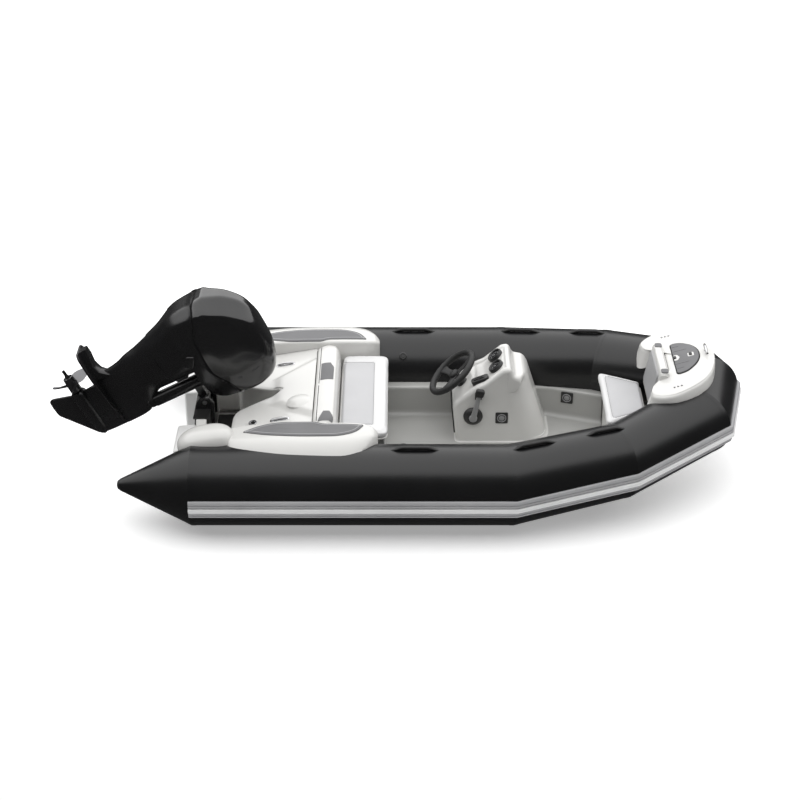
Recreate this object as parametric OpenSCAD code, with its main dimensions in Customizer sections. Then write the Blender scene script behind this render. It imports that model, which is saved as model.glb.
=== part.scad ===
// Rigid inflatable boat afloat, with a tilting outboard engine.
// +X is forward, +Y is port, +Z is up. The origin is on the waterline, on the centreline.

/* [Buoyancy tube] */
// Beam over the tubes
beam = 1780; // [1700:10:2200]
// Diameter of the tube along the straight side
tube_d = 440; // [400:5:500]
// Height of the tube's centreline above the waterline
tube_z = 230; // [225:5:280]
// Length of the straight side, from the stern cone to the first knuckle
side_len = 1725; // [1650:5:2100]
// Length of the stern cone
cone_len = 390; // [300:5:480]
// Radius of the small end of the stern cone
cone_end_r = 32; // [25:1:45]
// Width of the rubbing strake
strake_w = 100; // [80:1:120]
// How far the strake stands out from the tube
strake_t = 16; // [10:1:24]
// Width of the insert along the middle of the strake
insert_w = 24; // [16:1:36]

/* [Hull] */
// Height of the cockpit sole above the waterline
sole_z = 45; // [40:1:80]
// Thickness of the cockpit sole
sole_t = 15; // [10:1:20]
// Half the width between the cockpit's inner sides
cockpit_half = 387; // [370:1:400]
// Depth of the keel below the waterline at the transom
keel_depth = 110; // [80:5:180]
// Thickness of the transom board
transom_t = 60; // [50:1:70]
// Height of the transom's top above the waterline
transom_z = 352; // [330:1:360]

/* [Seats] */
// Half the width of the aft seat
aft_seat_half = 445; // [420:1:446]
// Length of the aft seat from front to back
aft_seat_len = 282; // [250:1:320]
// Height of the aft seat's top above the waterline
aft_seat_z = 418; // [400:1:440]
// Half the width of the bow seat's aft edge
bow_seat_half = 284; // [260:1:300]
// Length of the bow seat
bow_seat_len = 228; // [200:1:240]
// Height of the bow seat's top above the waterline
bow_seat_z = 392; // [380:1:410]
// Thickness of a seat cushion
cushion_t = 38; // [30:1:50]
// Thickness of a seat's lid
lid_t = 10; // [8:1:14]

/* [Console] */
// Distance of the console's near side from the centreline, at the sole
console_near = 70; // [50:1:90]
// Distance of the steering wheel's centre from the centreline
helm_y = 242; // [220:1:260]
// Wall thickness of the console
console_t = 8; // [6:1:12]
// Diameter of the steering wheel
wheel_d = 340; // [300:5:360]
// Elevation of the steering wheel's axis above the horizon, in degrees
wheel_rake = 48; // [40:1:60]
// Diameter of a gauge
gauge_d = 92; // [80:1:100]

/* [Outboard] */
// Angle that the outboard is tilted up by, in degrees
tilt_up = 62.5; // [40:0.5:66]
// Width of the engine cowl
cowl_w = 370; // [330:5:400]
// Depth of the propeller shaft below the tilt axis, engine down
shaft_drop = 637; // [600:1:760]
// Diameter of the propeller
prop_d = 280; // [240:5:300]
// Radius of the propeller shaft
shaft_r = 9; // [8:0.5:11]
// Radius of the steering pivot shaft
pivot_r = 18; // [14:0.5:20]

/* [Fittings] */
// Inner radius of a towing eye
eye_r = 11; // [8:0.5:14]
// Radius of the bar of a towing eye
eye_bar_r = 6; // [5:0.5:8]

/* [Hidden] */
// Seat between pieces that rest on each other
gap = 0.3;
// Running clearance of a shaft in its bore
run = 0.05;
// Clearance of a moving piece
clear = 6;
sides = 40;

// ---- Tube centreline: the port side, from the stern cone to the stem
tube_r = tube_d / 2;
tube_y = beam / 2 - tube_r;
knuckle1_x = 365;
cone_x = knuckle1_x - side_len;
path = [
    [cone_x - cone_len, tube_y, tube_z],
    [cone_x, tube_y, tube_z],
    [knuckle1_x, tube_y, tube_z],
    [knuckle1_x + 600, tube_y - 129, tube_z + 72],
    [knuckle1_x + 1046, tube_y * 0.397, tube_z + 166],
    [knuckle1_x + 1108, 0, tube_z + 221]
];
path_r = [cone_end_r, tube_r, tube_r, tube_r - 16, tube_r - 24, tube_r - 20];
last = len(path) - 1;

function heading(i) = let(v = path[i + 1] - path[i]) [v.x, v.y] / norm([v.x, v.y]);
function inward(t) = [t.y, -t.x];
// Unit step towards the centreline in the mitre plane at point i, lengthened by the mitre
function mitre(i) =
    i == last ? [-1, 0] / abs(inward(heading(last - 1)).x)
    : let(a = inward(heading(max(i - 1, 0))), b = inward(heading(i)), m = (a + b) / norm(a + b)) m / (m * b);
// The point at radius r and angle a round the tube at path point i: 0 is inboard, 90 is up
function on_tube(i, r, a) = let(m = mitre(i) * r * cos(a)) [path[i].x + m.x, path[i].y + m.y, path[i].z + r * sin(a)];
function tube_ring(i) = [for (k = [0 : sides - 1]) on_tube(i, path_r[i], 360 * k / sides)];
function starboard(points) = [for (p = points) [p.x, -p.y, p.z]];
// The centreline's y (k = 1) or z (k = 2), or the tube's radius, at a place along the boat
function along(x, k) = lookup(x, [for (p = path) [p.x, p[k]]]);
function radius_at(x) = lookup(x, [for (i = [0 : last]) [path[i].x, path_r[i]]]);
// The top of the tube at a place along the boat
function tube_top(x) = [x, along(x, 1), along(x, 2) + radius_at(x)];

// ---- General shapes
function centre(ring) = [for (p = ring) 1] * ring / len(ring);
function turning(ring) = let(n = len(ring)) [for (k = [1 : n - 2]) 1]
    * [for (k = [1 : n - 2]) cross(ring[k] - ring[0], ring[k + 1] - ring[0])];
function backwards(ring) = [for (k = [len(ring) - 1 : -1 : 0]) ring[k]];

// A closed solid through rings of equally many points; each end is closed from side to side
module loft(rings) {
    n = len(rings[0]);
    m = len(rings);
    ahead = turning(rings[0]) * (centre(rings[1]) - centre(rings[0])) > 0;
    turned = ahead ? rings : [for (r = rings) backwards(r)];
    end = [for (k = [0 : floor(n / 2) - 1]) each concat(
        k + 1 < n - 1 - k ? [[k, k + 1, n - 1 - k]] : [],
        k + 1 < n - 2 - k ? [[k + 1, n - 2 - k, n - 1 - k]] : []
    )];
    polyhedron(
        points = [for (r = turned) each r],
        faces = concat(
            end,
            [for (j = [0 : m - 2], k = [0 : n - 1]) let(a = j * n + k, b = j * n + (k + 1) % n)
                each [[a, a + n, b + n], [a, b + n, b]]],
            [for (f = end) [f[2], f[1], f[0]] + (m - 1) * n * [1, 1, 1]]
        ),
        convexity = 8
    );
}

module both_sides() {
    children();
    mirror([0, 1, 0]) children();
}

// An outline in [x, z], extruded from y0 to y1
module in_side_view(y0, y1) {
    translate([0, y1, 0]) rotate([90, 0, 0]) linear_extrude(y1 - y0) children();
}

// An outline in [y, z], extruded from x0 to x1
module in_end_view(x0, x1) {
    translate([x0, 0, 0]) rotate([90, 0, 90]) linear_extrude(x1 - x0) children();
}

// An upright slab between z0 and z1, with its plan drawn as children
module slab(z0, z1) {
    translate([0, 0, z0]) linear_extrude(z1 - z0) children();
}

// A plan outline given for its port half
module both_halves(plan) {
    polygon(concat(plan, backwards([for (p = plan) [p.x, -p.y]])));
}
// A rectangle from [x0, y0] to [x1, y1] with round corners
module round_rect(x0, y0, x1, y1, r) {
    translate([x0 + r, y0]) square([x1 - x0 - 2 * r, y1 - y0]);
    translate([x0, y0 + r]) square([x1 - x0, y1 - y0 - 2 * r]);
    for (x = [x0 + r, x1 - r], y = [y0 + r, y1 - r]) translate([x, y]) circle(r, $fn = 48);
}

// ---- Tubes
// All the tubes, one seat larger, to cut out of what rests on them
module tubes_cut() {
    grown = [for (i = [0 : last]) [for (k = [0 : sides - 1]) on_tube(i, path_r[i] + gap, 360 * k / sides)]];
    both_sides() {
        loft([grown[0], grown[1], grown[2]]);
        loft([grown[2], grown[3]]);
        loft([grown[3], grown[4]]);
    }
    loft([grown[4], grown[last], starboard(grown[4])]);
}

module side_tubes() {
    color("#222222") both_sides() loft([tube_ring(0), tube_ring(1), tube_ring(2)]);
}

module shoulder_tubes() {
    color("#222222") both_sides() loft([tube_ring(2), tube_ring(3)]);
}

module bow_tubes() {
    color("#222222") both_sides() loft([tube_ring(3), tube_ring(4)]);
}

module nose_tube() {
    color("#222222") loft([tube_ring(4), tube_ring(5), starboard(tube_ring(4))]);
}

module cone_caps() {
    cap_len = 14;
    color("#777777") both_sides() translate(path[0] - [cap_len + gap, 0, 0]) rotate([0, 90, 0])
        cylinder(r1 = cone_end_r - 8, r2 = cone_end_r - 2, h = cap_len, $fn = 48);
}

// A band round the outside of the tube at path point i, from radius r0 to r1, of the given half width
strake_drop = 4;
strake_steps = 4;
function band_ring(i, r0, r1, half) = let(
    spread = asin(half / path_r[i]), m = strake_steps,
    turn = [for (k = [0 : m]) 180 + strake_drop + spread * (1 - 2 * k / m)]
) concat(
    [for (a = turn) on_tube(i, path_r[i] + r0, a)],
    [for (k = [m : -1 : 0]) on_tube(i, path_r[i] + r1, turn[k])]
);
module band(r0, r1, half) {
    port = [for (i = [1 : last]) band_ring(i, r0, r1, half)];
    loft(concat(port, [for (i = [last - 2 : -1 : 0]) starboard(port[i])]));
}

module rubbing_strake() {
    // The seat allows for the flat facets of the tube and the strake
    color("#9a9a9a") band(gap + 0.4, strake_t, strake_w / 2);
}

module strake_insert() {
    insert_t = 8;
    color("#e8e8e8") band(strake_t + gap, strake_t + insert_t, insert_w / 2);
}

module tube_valves() {
    valve_x = -217;
    valve_angle = 40.5;
    valve_r = 24;
    valve_h = 8;
    color("#2b2b2b") both_sides() translate([valve_x, tube_y, tube_z]) rotate([90 - valve_angle, 0, 0])
        translate([0, 0, tube_r * cos(180 / sides) + gap]) cylinder(r = valve_r, h = valve_h, $fn = 48);
}

// Low moulded handles on top of the tubes, as [aft end, length]
handles = [[-250, 190], [400, 170], [800, 150]];
handle_w = 30;
handle_h = 24;
handle_foot = 24;
module grab_handles() {
    color("#1a1a1a") both_sides() for (h = handles) {
        a = tube_top(h[0]);
        run_of = tube_top(h[0] + h[1]) - a;
        len = norm(run_of);
        translate(a + [0, 0, gap]) rotate([0, -asin(run_of.z / len), atan2(run_of.y, run_of.x)])
            in_side_view(-handle_w / 2, handle_w / 2)
                polygon([[0, 0], [handle_foot, handle_h], [len - handle_foot, handle_h], [len, 0]]);
    }
}

// ---- Hull and cockpit
transom_x = -1320;
hull_top = sole_z - sole_t;
aft_seat_front = -296;
seat_back_x = aft_seat_front - aft_seat_len;
bow_seat_aft = path[3].x - 33;
sole_fore = bow_seat_aft + 20;
// The cockpit's sides are parallel as far as the console's front
wall_bend_x = 640;
// The cockpit's half width between its inner sides, at a place along the boat
function wall_y(x) = lookup(x, [[wall_bend_x, cockpit_half], [sole_fore, bow_seat_half + 2]]);

// Hull sections as [x, keel height, chine's y and z, edge's y and z, floor's y and z]; the bow's edges reach the tubes
low = hull_top - gap;
sections = [
    [transom_x, -keel_depth, 530, -15, 548, low, 400, low],
    [knuckle1_x, 5 - keel_depth, 520, -10, 545, low, 400, low],
    [sole_fore + gap, 49 - keel_depth, 402, 5, 442, low, 300, low],
    [path[3].x, 50 - keel_depth, 400, 5, 440, 180, 300, low],
    [path[3].x + 235, 120 - keel_depth, 250, 60, 330, 230, 190, 80],
    [path[4].x - 30, 240 - keel_depth, 110, 150, 200, 330, 100, 175],
    [path[last].x - 20, 345 - keel_depth, 12, 240, 40, 330, 8, 245]
];
keel_half = 8;
module rigid_hull() {
    color("#e6e6e3") difference() {
        loft([for (s = sections) let(
            port = [[s[0], keel_half, s[1]], [s[0], s[2], s[3]], [s[0], s[4], s[5]], [s[0], s[6], s[7]]]
        ) concat(port, backwards(starboard(port)))]);
        tubes_cut();
    }
}

module cockpit_sole() {
    port = [for (x = [seat_back_x, wall_bend_x, sole_fore]) [x, wall_y(x) - gap]];
    color("#b9b8b4") slab(hull_top, sole_z) both_halves(port);
}

// The cockpit's inner sides, from the hull's top up to the ledge, each seated against the tube
ledge_z = tube_z - 4;
function hull_edge(x) = lookup(x, [for (s = sections) [s[0], s[4]]]);
module cockpit_sides() {
    places = [seat_back_x, knuckle1_x, wall_bend_x, sole_fore];
    color("#dcdcd8") difference() {
        both_sides() slab(hull_top, ledge_z) polygon(concat(
            [for (x = places) [x, wall_y(x)]], backwards([for (x = places) [x, hull_edge(x)]])
        ));
        tubes_cut();
    }
}

aft_half = tube_y - tube_r - gap;
module transom_board() {
    edge = transom_z - 60;
    color("#e6e6e3") in_end_view(transom_x - transom_t, transom_x - gap) polygon([
        [0, -keel_depth], [aft_half, -15], [aft_half, edge], [250, edge], [190, transom_z],
        [-190, transom_z], [-250, edge], [-aft_half, edge], [-aft_half, -15]
    ]);
}

// Side walls of the stern, either side of the slot that the engine's leg tilts through
leg_slot = 175;
wing_len = 105;
module stern_wings() {
    wing_x = transom_x - transom_t;
    color("#f0f0ee") both_sides() in_side_view(leg_slot, aft_half) polygon([
        [wing_x - gap, -15], [wing_x - gap, transom_z - 35], [wing_x - wing_len, transom_z - 45],
        [wing_x - wing_len, 40]
    ]);
}

// Aft deck, cut by a well that opens aft for the tilted engine
well_apex = -915;
well_nose = 25;
// Aft of this the deck is a side strip only, and the well spans the whole stern
well_aft = -1170;
well_side = 400;
well_half = 150;
deck_fore_z = 452;
deck_aft_z = 345;
backrest_t = 100;
deck_fore = seat_back_x - backrest_t - 40;
module aft_deck() {
    color("#f0f0ee") intersection() {
        slab(hull_top, deck_fore_z) difference() {
            translate([transom_x, -aft_half]) square([deck_fore - transom_x, 2 * aft_half]);
            polygon([
                [transom_x - 1, -well_side], [well_aft, -well_side], [well_aft, -well_half],
                [well_apex - 110, -65], [well_apex, -well_nose], [well_apex, well_nose], [well_apex - 110, 65],
                [well_aft, well_half], [well_aft, well_side], [transom_x - 1, well_side]
            ]);
        }
        in_side_view(-aft_half, aft_half) polygon([
            [transom_x, hull_top], [deck_fore, hull_top], [deck_fore, deck_fore_z], [transom_x, deck_aft_z]
        ]);
    }
}

// Mouldings that sit on the tubes beside the aft seat: their sections as [x, inner y, outer y, top]
coaming = [
    [-1165, -190, 40, 18], [-1050, -214, 75, 38], [-800, -214, 90, 46],
    [-480, -214, 92, 46], [-385, -180, 70, 36], [-340, -100, 30, 14]
];
coaming_steps = 7;
// Keeps a moulding's point outboard of the aft deck's side
function outboard(y) = max(y, aft_half + gap);
// An arched section of a moulding over the tube: its foot is inside the tube, to be cut by it
function arch(x, y0, y1, top, n) = let(
    r = tube_r, a0 = asin(y0 / r), a1 = asin(y1 / r), turn = [for (k = [0 : n]) a0 + (a1 - a0) * k / n]
) concat(
    [for (a = turn) [x, tube_y + (radius_at(x) - 6) * sin(a), tube_z + (radius_at(x) - 6) * cos(a)]],
    [for (k = [n : -1 : 0]) let(high = radius_at(x) + (k == 0 || k == n ? 4 : top))
        [x, outboard(tube_y + high * sin(turn[k])), tube_z + high * cos(turn[k])]]
);
module arched(sections_of) {
    difference() {
        both_sides() loft([for (s = sections_of) arch(s[0], s[1], s[2], s[3], coaming_steps)]);
        tubes_cut();
    }
}
module quarter_mouldings() {
    color("#f4f4f2") arched(coaming);
}

pad_t = 8;
// How far the moulding's and the pad's flat facets part between their corners
facet_sag = 2;
module quarter_pads() {
    r = tube_r + gap;
    color("#8c8c8c") both_sides() loft([for (s = [coaming[1], coaming[2], coaming[3]]) let(
        a0 = asin((s[1] + 60) / r), a1 = asin((s[2] - 62) / r), base = s[3] + facet_sag,
        turn = [for (k = [0 : 4]) a0 + (a1 - a0) * k / 4]
    ) concat(
        [for (a = turn) [s[0], tube_y + (r + base) * sin(a), tube_z + (r + base) * cos(a)]],
        [for (k = [4 : -1 : 0]) [s[0], tube_y + (r + base + pad_t) * sin(turn[k]),
            tube_z + (r + base + pad_t) * cos(turn[k])]]
    )]);
}

module stern_steps() {
    color("#f0f0ee") arched([
        [-1470, -215, -120, 12], [-1400, -215, -40, 50], [-1300, -215, 0, 62], [-1200, -212, -10, 45]
    ]);
}

// Puts a fitting on the sloping aft deck
module on_aft_deck(x, y) {
    fall = (deck_fore_z - deck_aft_z) / (deck_fore - transom_x);
    translate([x, y, deck_fore_z - (deck_fore - x) * fall]) rotate([0, -atan(fall), 0]) translate([0, 0, gap])
        children();
}
module stern_cleats() {
    base = [110, 30, 8];
    color("#b8b8b8") both_sides() on_aft_deck(deck_fore - 235, 300) cube(base);
}

module fuel_filler() {
    filler_r = 24;
    color("#b8b8b8") on_aft_deck(-1050, -310) cylinder(r = filler_r, h = 10, $fn = 48);
}

// ---- Aft seat
locker_t = 15;
seat_inset = 22;
module aft_seat_base() {
    x0 = seat_back_x + gap;
    x1 = aft_seat_front - seat_inset;
    half = cockpit_half - gap;
    top = aft_seat_z - cushion_t - lid_t - 2 * gap;
    color("#d0d0cc") difference() {
        translate([x0, -half, sole_z + gap]) cube([x1 - x0, 2 * half, top - sole_z - gap]);
        translate([x0 + locker_t, -half + locker_t, sole_z + locker_t])
            cube([x1 - x0 - 2 * locker_t, 2 * (half - locker_t), top]);
    }
}

lid_back = seat_back_x + clear;
module aft_seat_lid() {
    z = aft_seat_z - cushion_t - lid_t - gap;
    color("#e6e6e3") slab(z, z + lid_t)
        round_rect(lid_back, -aft_seat_half + 8, aft_seat_front - 8, aft_seat_half - 8, 40);
}

module aft_seat_cushion() {
    color("#f0f0f0") slab(aft_seat_z - cushion_t, aft_seat_z)
        round_rect(lid_back, -aft_seat_half, aft_seat_front, aft_seat_half, 48);
}

module aft_backrest() {
    high = 75;
    x = seat_back_x - gap;
    color("#f0f0f0") in_side_view(-aft_half + 2, aft_half - 2) polygon([
        [x, hull_top + gap], [x, aft_seat_z], [x - 22, aft_seat_z + high], [x - backrest_t, aft_seat_z + high - 8],
        [deck_fore + gap, deck_fore_z - 12], [deck_fore + gap, hull_top + gap]
    ]);
}

// ---- Bow seat, locker and deck
bow_seat_fore = bow_seat_aft + bow_seat_len;
bow_fore_half = 176;
base_floor = 130;
module bow_seat_plan(grow, shorten) {
    r = 40;
    hull() {
        for (s = [-1, 1]) {
            translate([bow_seat_aft + r - grow, s * (bow_seat_half + grow - r)]) circle(r, $fn = 32);
            translate([bow_seat_fore - shorten - 5, s * (bow_fore_half + grow - 5)]) circle(5, $fn = 32);
        }
    }
}

module bow_seat_base() {
    top = bow_seat_z - cushion_t - lid_t - 2 * gap;
    back = bow_seat_aft + seat_inset;
    color("#e6e6e3") difference() {
        slab(sole_z + gap, top) polygon([
            [back, -bow_seat_half + 30], [bow_seat_fore - 20, -170], [bow_seat_fore - 20, 170], [back, bow_seat_half - 30]
        ]);
        slab(base_floor, top + 1) polygon([
            [back + locker_t, -bow_seat_half + 50], [bow_seat_fore - 20 - locker_t, -152],
            [bow_seat_fore - 20 - locker_t, 152], [back + locker_t, bow_seat_half - 50]
        ]);
        // The foot follows the hull's floor as it rises
        in_side_view(-400, 400) polygon([
            [sole_fore, low - 1], [sections[4][0], low - 1], [sections[4][0], sections[4][7] + gap],
            [sections[3][0], low + gap], [sole_fore, low + gap]
        ]);
    }
}

module bow_seat_lid() {
    z = bow_seat_z - cushion_t - lid_t - gap;
    color("#e6e6e3") slab(z, z + lid_t) bow_seat_plan(-8, clear);
}

module bow_seat_cushion() {
    color("#f0f0f0") slab(bow_seat_z - cushion_t, bow_seat_z) bow_seat_plan(0, clear);
}

// The bow deck slopes up to the nose, where it rests on the tube
bow_slope = 16.7;
bow_skin = 20;
bow_rise = 0.6;
bow_deep = 95;
function bow_deck_z(x) = path[last].z + path_r[last] + bow_rise + bow_skin + (x - path[last].x) * tan(bow_slope);
bow_back = bow_seat_fore + gap;
bow_plan = [
    [bow_back, -172], [bow_back - 58, -250], [bow_back + 5, -350], [bow_back + 90, -380],
    [path[4].x + 45, -280], [path[last].x + 50, -90], [path[last].x + 57, 0]
];
module bow_slope_band(drop, top) {
    in_side_view(-400, 400) polygon([for (p = [[0, drop], [600, drop], [600, top], [0, top]])
        [bow_back - 80 + p.x, bow_deck_z(bow_back - 80 + p.x) - p.y]]);
}
module bow_moulding() {
    back_top = 636;
    back_foot = bow_seat_z - 2;
    panel_half = 172;
    color("#f4f4f2") difference() {
        union() {
            intersection() {
                bow_slope_band(bow_deep, 0);
                slab(path[3].z, 800) both_halves(bow_plan);
            }
            in_side_view(-panel_half, panel_half) polygon([
                [bow_back + 4, back_foot], [bow_back + 50, back_top], [bow_back + 98, back_top],
                [bow_back + 98, back_foot]
            ]);
        }
        tubes_cut();
        intersection() {
            bow_slope_band(400, bow_skin);
            slab(path[3].z, 800) both_halves([
                [bow_back + 70, -165], [bow_back + 90, -330], [path[4].x + 20, -240], [path[last].x + 10, -80]
            ]);
        }
        on_bow_deck() slab(-60, 20) bow_hatch_plan(-18);
    }
}

hatch_aft = bow_seat_fore + 140;
hatch_half = 172;
hatch_len = 145;
module on_bow_deck() {
    translate([hatch_aft, 0, bow_deck_z(hatch_aft)]) rotate([0, -bow_slope, 0]) children();
}
// The hatch's plan, ahead of its hinge; grow is how much larger it is drawn
module bow_hatch_plan(grow) {
    polygon([for (a = [-90 : 15 : 90])
        [(hatch_len + 2 * grow) * cos(a) - grow, (hatch_half + grow) * sin(a)]]);
}
module bow_hatch() {
    hatch_t = 12;
    color("#8c8c8c") on_bow_deck() slab(gap, gap + hatch_t) bow_hatch_plan(0);
}

module bow_cleat() {
    post_r = 9;
    bar_r = 8;
    bar_len = 90;
    post_h = 34;
    post_x = 190;
    color("#c8c8c8") on_bow_deck() translate([post_x, 0, gap]) {
        for (y = [-18, 18]) translate([0, y, 0]) cylinder(r = post_r, h = post_h, $fn = 48);
        translate([0, bar_len / 2, post_h]) rotate([90, 0, 0]) cylinder(r = bar_r, h = bar_len, $fn = 48);
    }
}

// ---- Towing eyes
stern_eye = [transom_x - transom_t - eye_r - 2 * eye_bar_r - gap, 145, 190];
module eye_plate(at) {
    half = eye_bar_r;
    reach = eye_r + 2 * eye_bar_r;
    translate(at) rotate([90, 0, 0]) difference() {
        translate([0, 0, -half]) linear_extrude(2 * half) {
            circle(reach, $fn = 64);
            translate([0, -reach]) square([reach, 2 * reach]);
        }
        cylinder(r = eye_r, h = 4 * half, center = true, $fn = 64);
    }
}
module tow_eyes() {
    color("#c0c0c0") both_sides() eye_plate(stern_eye);
}

// ---- Console
console_x = 90;
console_far = cockpit_half - 2 * gap;
// Points of the console's side outline, as [x ahead of its aft foot, height]
console_outline = [
    [0, sole_z + gap], [-24, 290], [110, 409], [160, 430], [265, 523], [305, 528],
    [325, 475], [385, 465], [407, 435], [535, sole_z + gap]
];
wheel_axis = [-cos(wheel_rake), 0, sin(wheel_rake)];
console_mid = (console_near + console_far) / 2;
wheel_at = [console_x - 22, helm_y, 412];
// Puts a fitting on face i of the console's outline, a share t along it
module on_console(i, t, y) {
    p = console_outline[i];
    way = console_outline[i + 1] - p;
    translate([console_x + p.x + way.x * t, y, p.y + way.y * t]) rotate([0, -atan2(way.y, way.x), 0])
        translate([0, 0, gap]) children();
}
door_w = 250;
door_h = 190;
door_z = sole_z + 30;
module console() {
    outer = [for (p = console_outline) [console_x + p.x, p.y]];
    color("#f0f0ee") difference() {
        in_side_view(console_near, console_far) polygon(outer);
        in_side_view(console_near + console_t, console_far - console_t) polygon([
            [console_x + 12, sole_z - 1], [console_x - 4, 285], [console_x + 118, 396], [console_x + 165, 418],
            [console_x + 268, 510], [console_x + 298, 513], [console_x + 316, 464], [console_x + 378, 454],
            [console_x + 396, 430], [console_x + 522, sole_z - 1]
        ]);
        translate([console_x - 60, console_mid - door_w / 2, door_z]) cube([120, door_w, door_h]);
        translate(wheel_at) rotate([0, wheel_rake - 90, 0]) cylinder(r = column_r + run, h = 400, center = true, $fn = 48);
    }
}

column_r = 16;
module steering_column() {
    color("#1a1a1a") translate(wheel_at) rotate([0, wheel_rake - 90, 0]) translate([0, 0, -150])
        cylinder(r = column_r, h = 108, $fn = 48);
}

// A door in the aft face of the console, hinged at its far side
module console_door() {
    t = 8;
    lean = atan(24 / (290 - sole_z));
    w = door_w - 2 * clear;
    h = door_h - 2 * clear;
    color("#1c1c1c") translate([console_x - 3, console_mid - w / 2, door_z + clear]) rotate([0, -lean, 0])
        translate([-t - 1, 0, 0]) cube([t, w, h]);
}

module gauges() {
    depth = 10;
    spacing = 128;
    color("#202020") for (s = [-1, 1]) on_console(3, 0.55, helm_y + s * spacing / 2)
        cylinder(d = gauge_d, h = depth, $fn = 64);
}

// A switch panel on the dash and the ignition strip on the console's near side
module dash_panels() {
    strip = [40, 8, 46];
    color("#202020") on_console(1, 0.55, console_near + 36) translate([-28, -22, 0]) cube([56, 44, 5]);
    color("#202020") translate([console_x + 58, console_near - strip.y - gap, 280]) cube(strip);
}

module steering_wheel() {
    rim_r = 15;
    hub_r = 30;
    ring_r = wheel_d / 2 - rim_r;
    spokes = 3;
    color("#1c1c1c") translate(wheel_at) rotate([0, wheel_rake - 90, 0]) {
        rotate_extrude($fn = 96) translate([ring_r, 0]) circle(rim_r, $fn = 32);
        translate([0, 0, -36]) cylinder(r = hub_r, h = 42, $fn = 64);
        for (k = [0 : spokes - 1]) rotate([0, 0, 360 * k / spokes])
            translate([hub_r - 6, -13, -8]) cube([ring_r - hub_r - rim_r + 14, 26, 9]);
    }
}

throttle_at = [console_x + 96, console_near, 200];
module throttle_box() {
    box_r = 56;
    box_t = 26;
    color("#1c1c1c") translate(throttle_at - [0, gap, 0]) rotate([90, 0, 0]) cylinder(r = box_r, h = box_t, $fn = 96);
}

module throttle_lever() {
    lever_t = 12;
    lean = -12;
    len = 190;
    color("#9c9c9c") translate(throttle_at - [0, 26 + 2 * gap, 0]) rotate([90, 0, 0]) linear_extrude(lever_t)
        rotate(lean) {
            circle(24, $fn = 48);
            translate([-16, 0]) square([32, len]);
            translate([0, len]) circle(16, $fn = 48);
        }
}

module vents() {
    side = 72;
    depth = 8;
    far_x = 735;
    color("#3a3a3a") {
        translate([console_x + 226, console_near - depth - gap, 165]) cube([side, depth, side]);
        turn = atan2(wall_y(wall_bend_x) - wall_y(sole_fore), sole_fore - wall_bend_x);
        translate([far_x, wall_y(far_x) - gap, 135]) rotate([0, 0, -turn]) translate([0, -depth, 0]) cube([side, depth, side]);
    }
}

// ---- Outboard: drawn upright with its origin on the tilt axis, then tilted up
tilt_at = [transom_x - 17, 0, transom_z + 48];
module tilted() {
    translate(tilt_at) rotate([0, tilt_up, 0]) children();
}

tube_rod_r = 14;
plate_y = 62;
plate_t = 20;
module clamp_bracket() {
    x0 = transom_x - transom_t - gap;
    x1 = transom_x + gap;
    z = transom_z + gap;
    color("#1a1a1a") {
        difference() {
            both_sides() in_side_view(plate_y, plate_y + plate_t) polygon([
                [x0, -20], [x0, z], [x1, z], [x1, 250], [x1 + 34, 250], [x1 + 34, tilt_at.z - 10],
                [x1 + 8, tilt_at.z + 26], [x0 + 18, tilt_at.z + 26], [x0 - 8, tilt_at.z - 10], [x0 - 38, 120], [x0 - 26, -20]
            ]);
            translate(tilt_at) rotate([90, 0, 0]) cylinder(r = tube_rod_r + run, h = 400, center = true, $fn = 48);
        }
    }
}

module tilt_tube() {
    color("#3a3a3a") translate(tilt_at) rotate([90, 0, 0])
        cylinder(r = tube_rod_r, h = 2 * (plate_y + plate_t) + 16, center = true, $fn = 48);
}

pivot_x = -105;
housing_r = 38;
housing_low = -270;
housing_high = 30;
module swivel_bracket() {
    barrel_half = plate_y - clear;
    color("#1a1a1a") tilted() difference() {
        union() {
            rotate([90, 0, 0]) cylinder(r = 25, h = 2 * barrel_half, center = true, $fn = 48);
            translate([pivot_x, -30, -24]) cube([-pivot_x - 5, 60, 44]);
            translate([pivot_x, 0, housing_low]) cylinder(r = housing_r, h = housing_high - housing_low, $fn = 64);
        }
        rotate([90, 0, 0]) cylinder(r = tube_rod_r + run, h = 400, center = true, $fn = 48);
        translate([pivot_x, 0, housing_low - 1]) cylinder(r = pivot_r + run, h = 400, $fn = 48);
    }
}

leg_front = -160;
boss_r = 34;
boss_t = 26;
module steering_pivot() {
    low = housing_low - clear - boss_t;
    high = housing_high + clear;
    color("#1a1a1a") tilted() {
        translate([pivot_x, 0, low]) cylinder(r = pivot_r, h = high + boss_t - low, $fn = 48);
        for (z = [low, high]) {
            translate([pivot_x, 0, z]) cylinder(r = boss_r, h = boss_t, $fn = 48);
            translate([leg_front + gap, -24, z]) cube([pivot_x - leg_front, 48, boss_t]);
        }
    }
}

// A horizontal section of the leg: an almond from x0 forward to x1, of the given half width
almond_steps = 7;
function almond(x0, x1, half, z) = let(n = almond_steps) concat(
    [for (k = [0 : n]) let(t = k / n) [x0 + (x1 - x0) * t, max(half * sin(180 * pow(t, 0.8)), 3), z]],
    [for (k = [n : -1 : 0]) let(t = k / n) [x0 + (x1 - x0) * t, -max(half * sin(180 * pow(t, 0.8)), 3), z]]
);
shaft_x = -413;
plate_z = 154 - shaft_drop;
module leg() {
    color("#1a1a1a") tilted() loft([
        almond(-420, leg_front, 66, pan_low - gap), almond(-400, leg_front, 62, -200), almond(-396, leg_front, 58, housing_low - clear - boss_t - 4),
        almond(-400, -78, 55, -330), almond(-402, -74, 52, plate_z + gap)
    ]);
}

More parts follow.
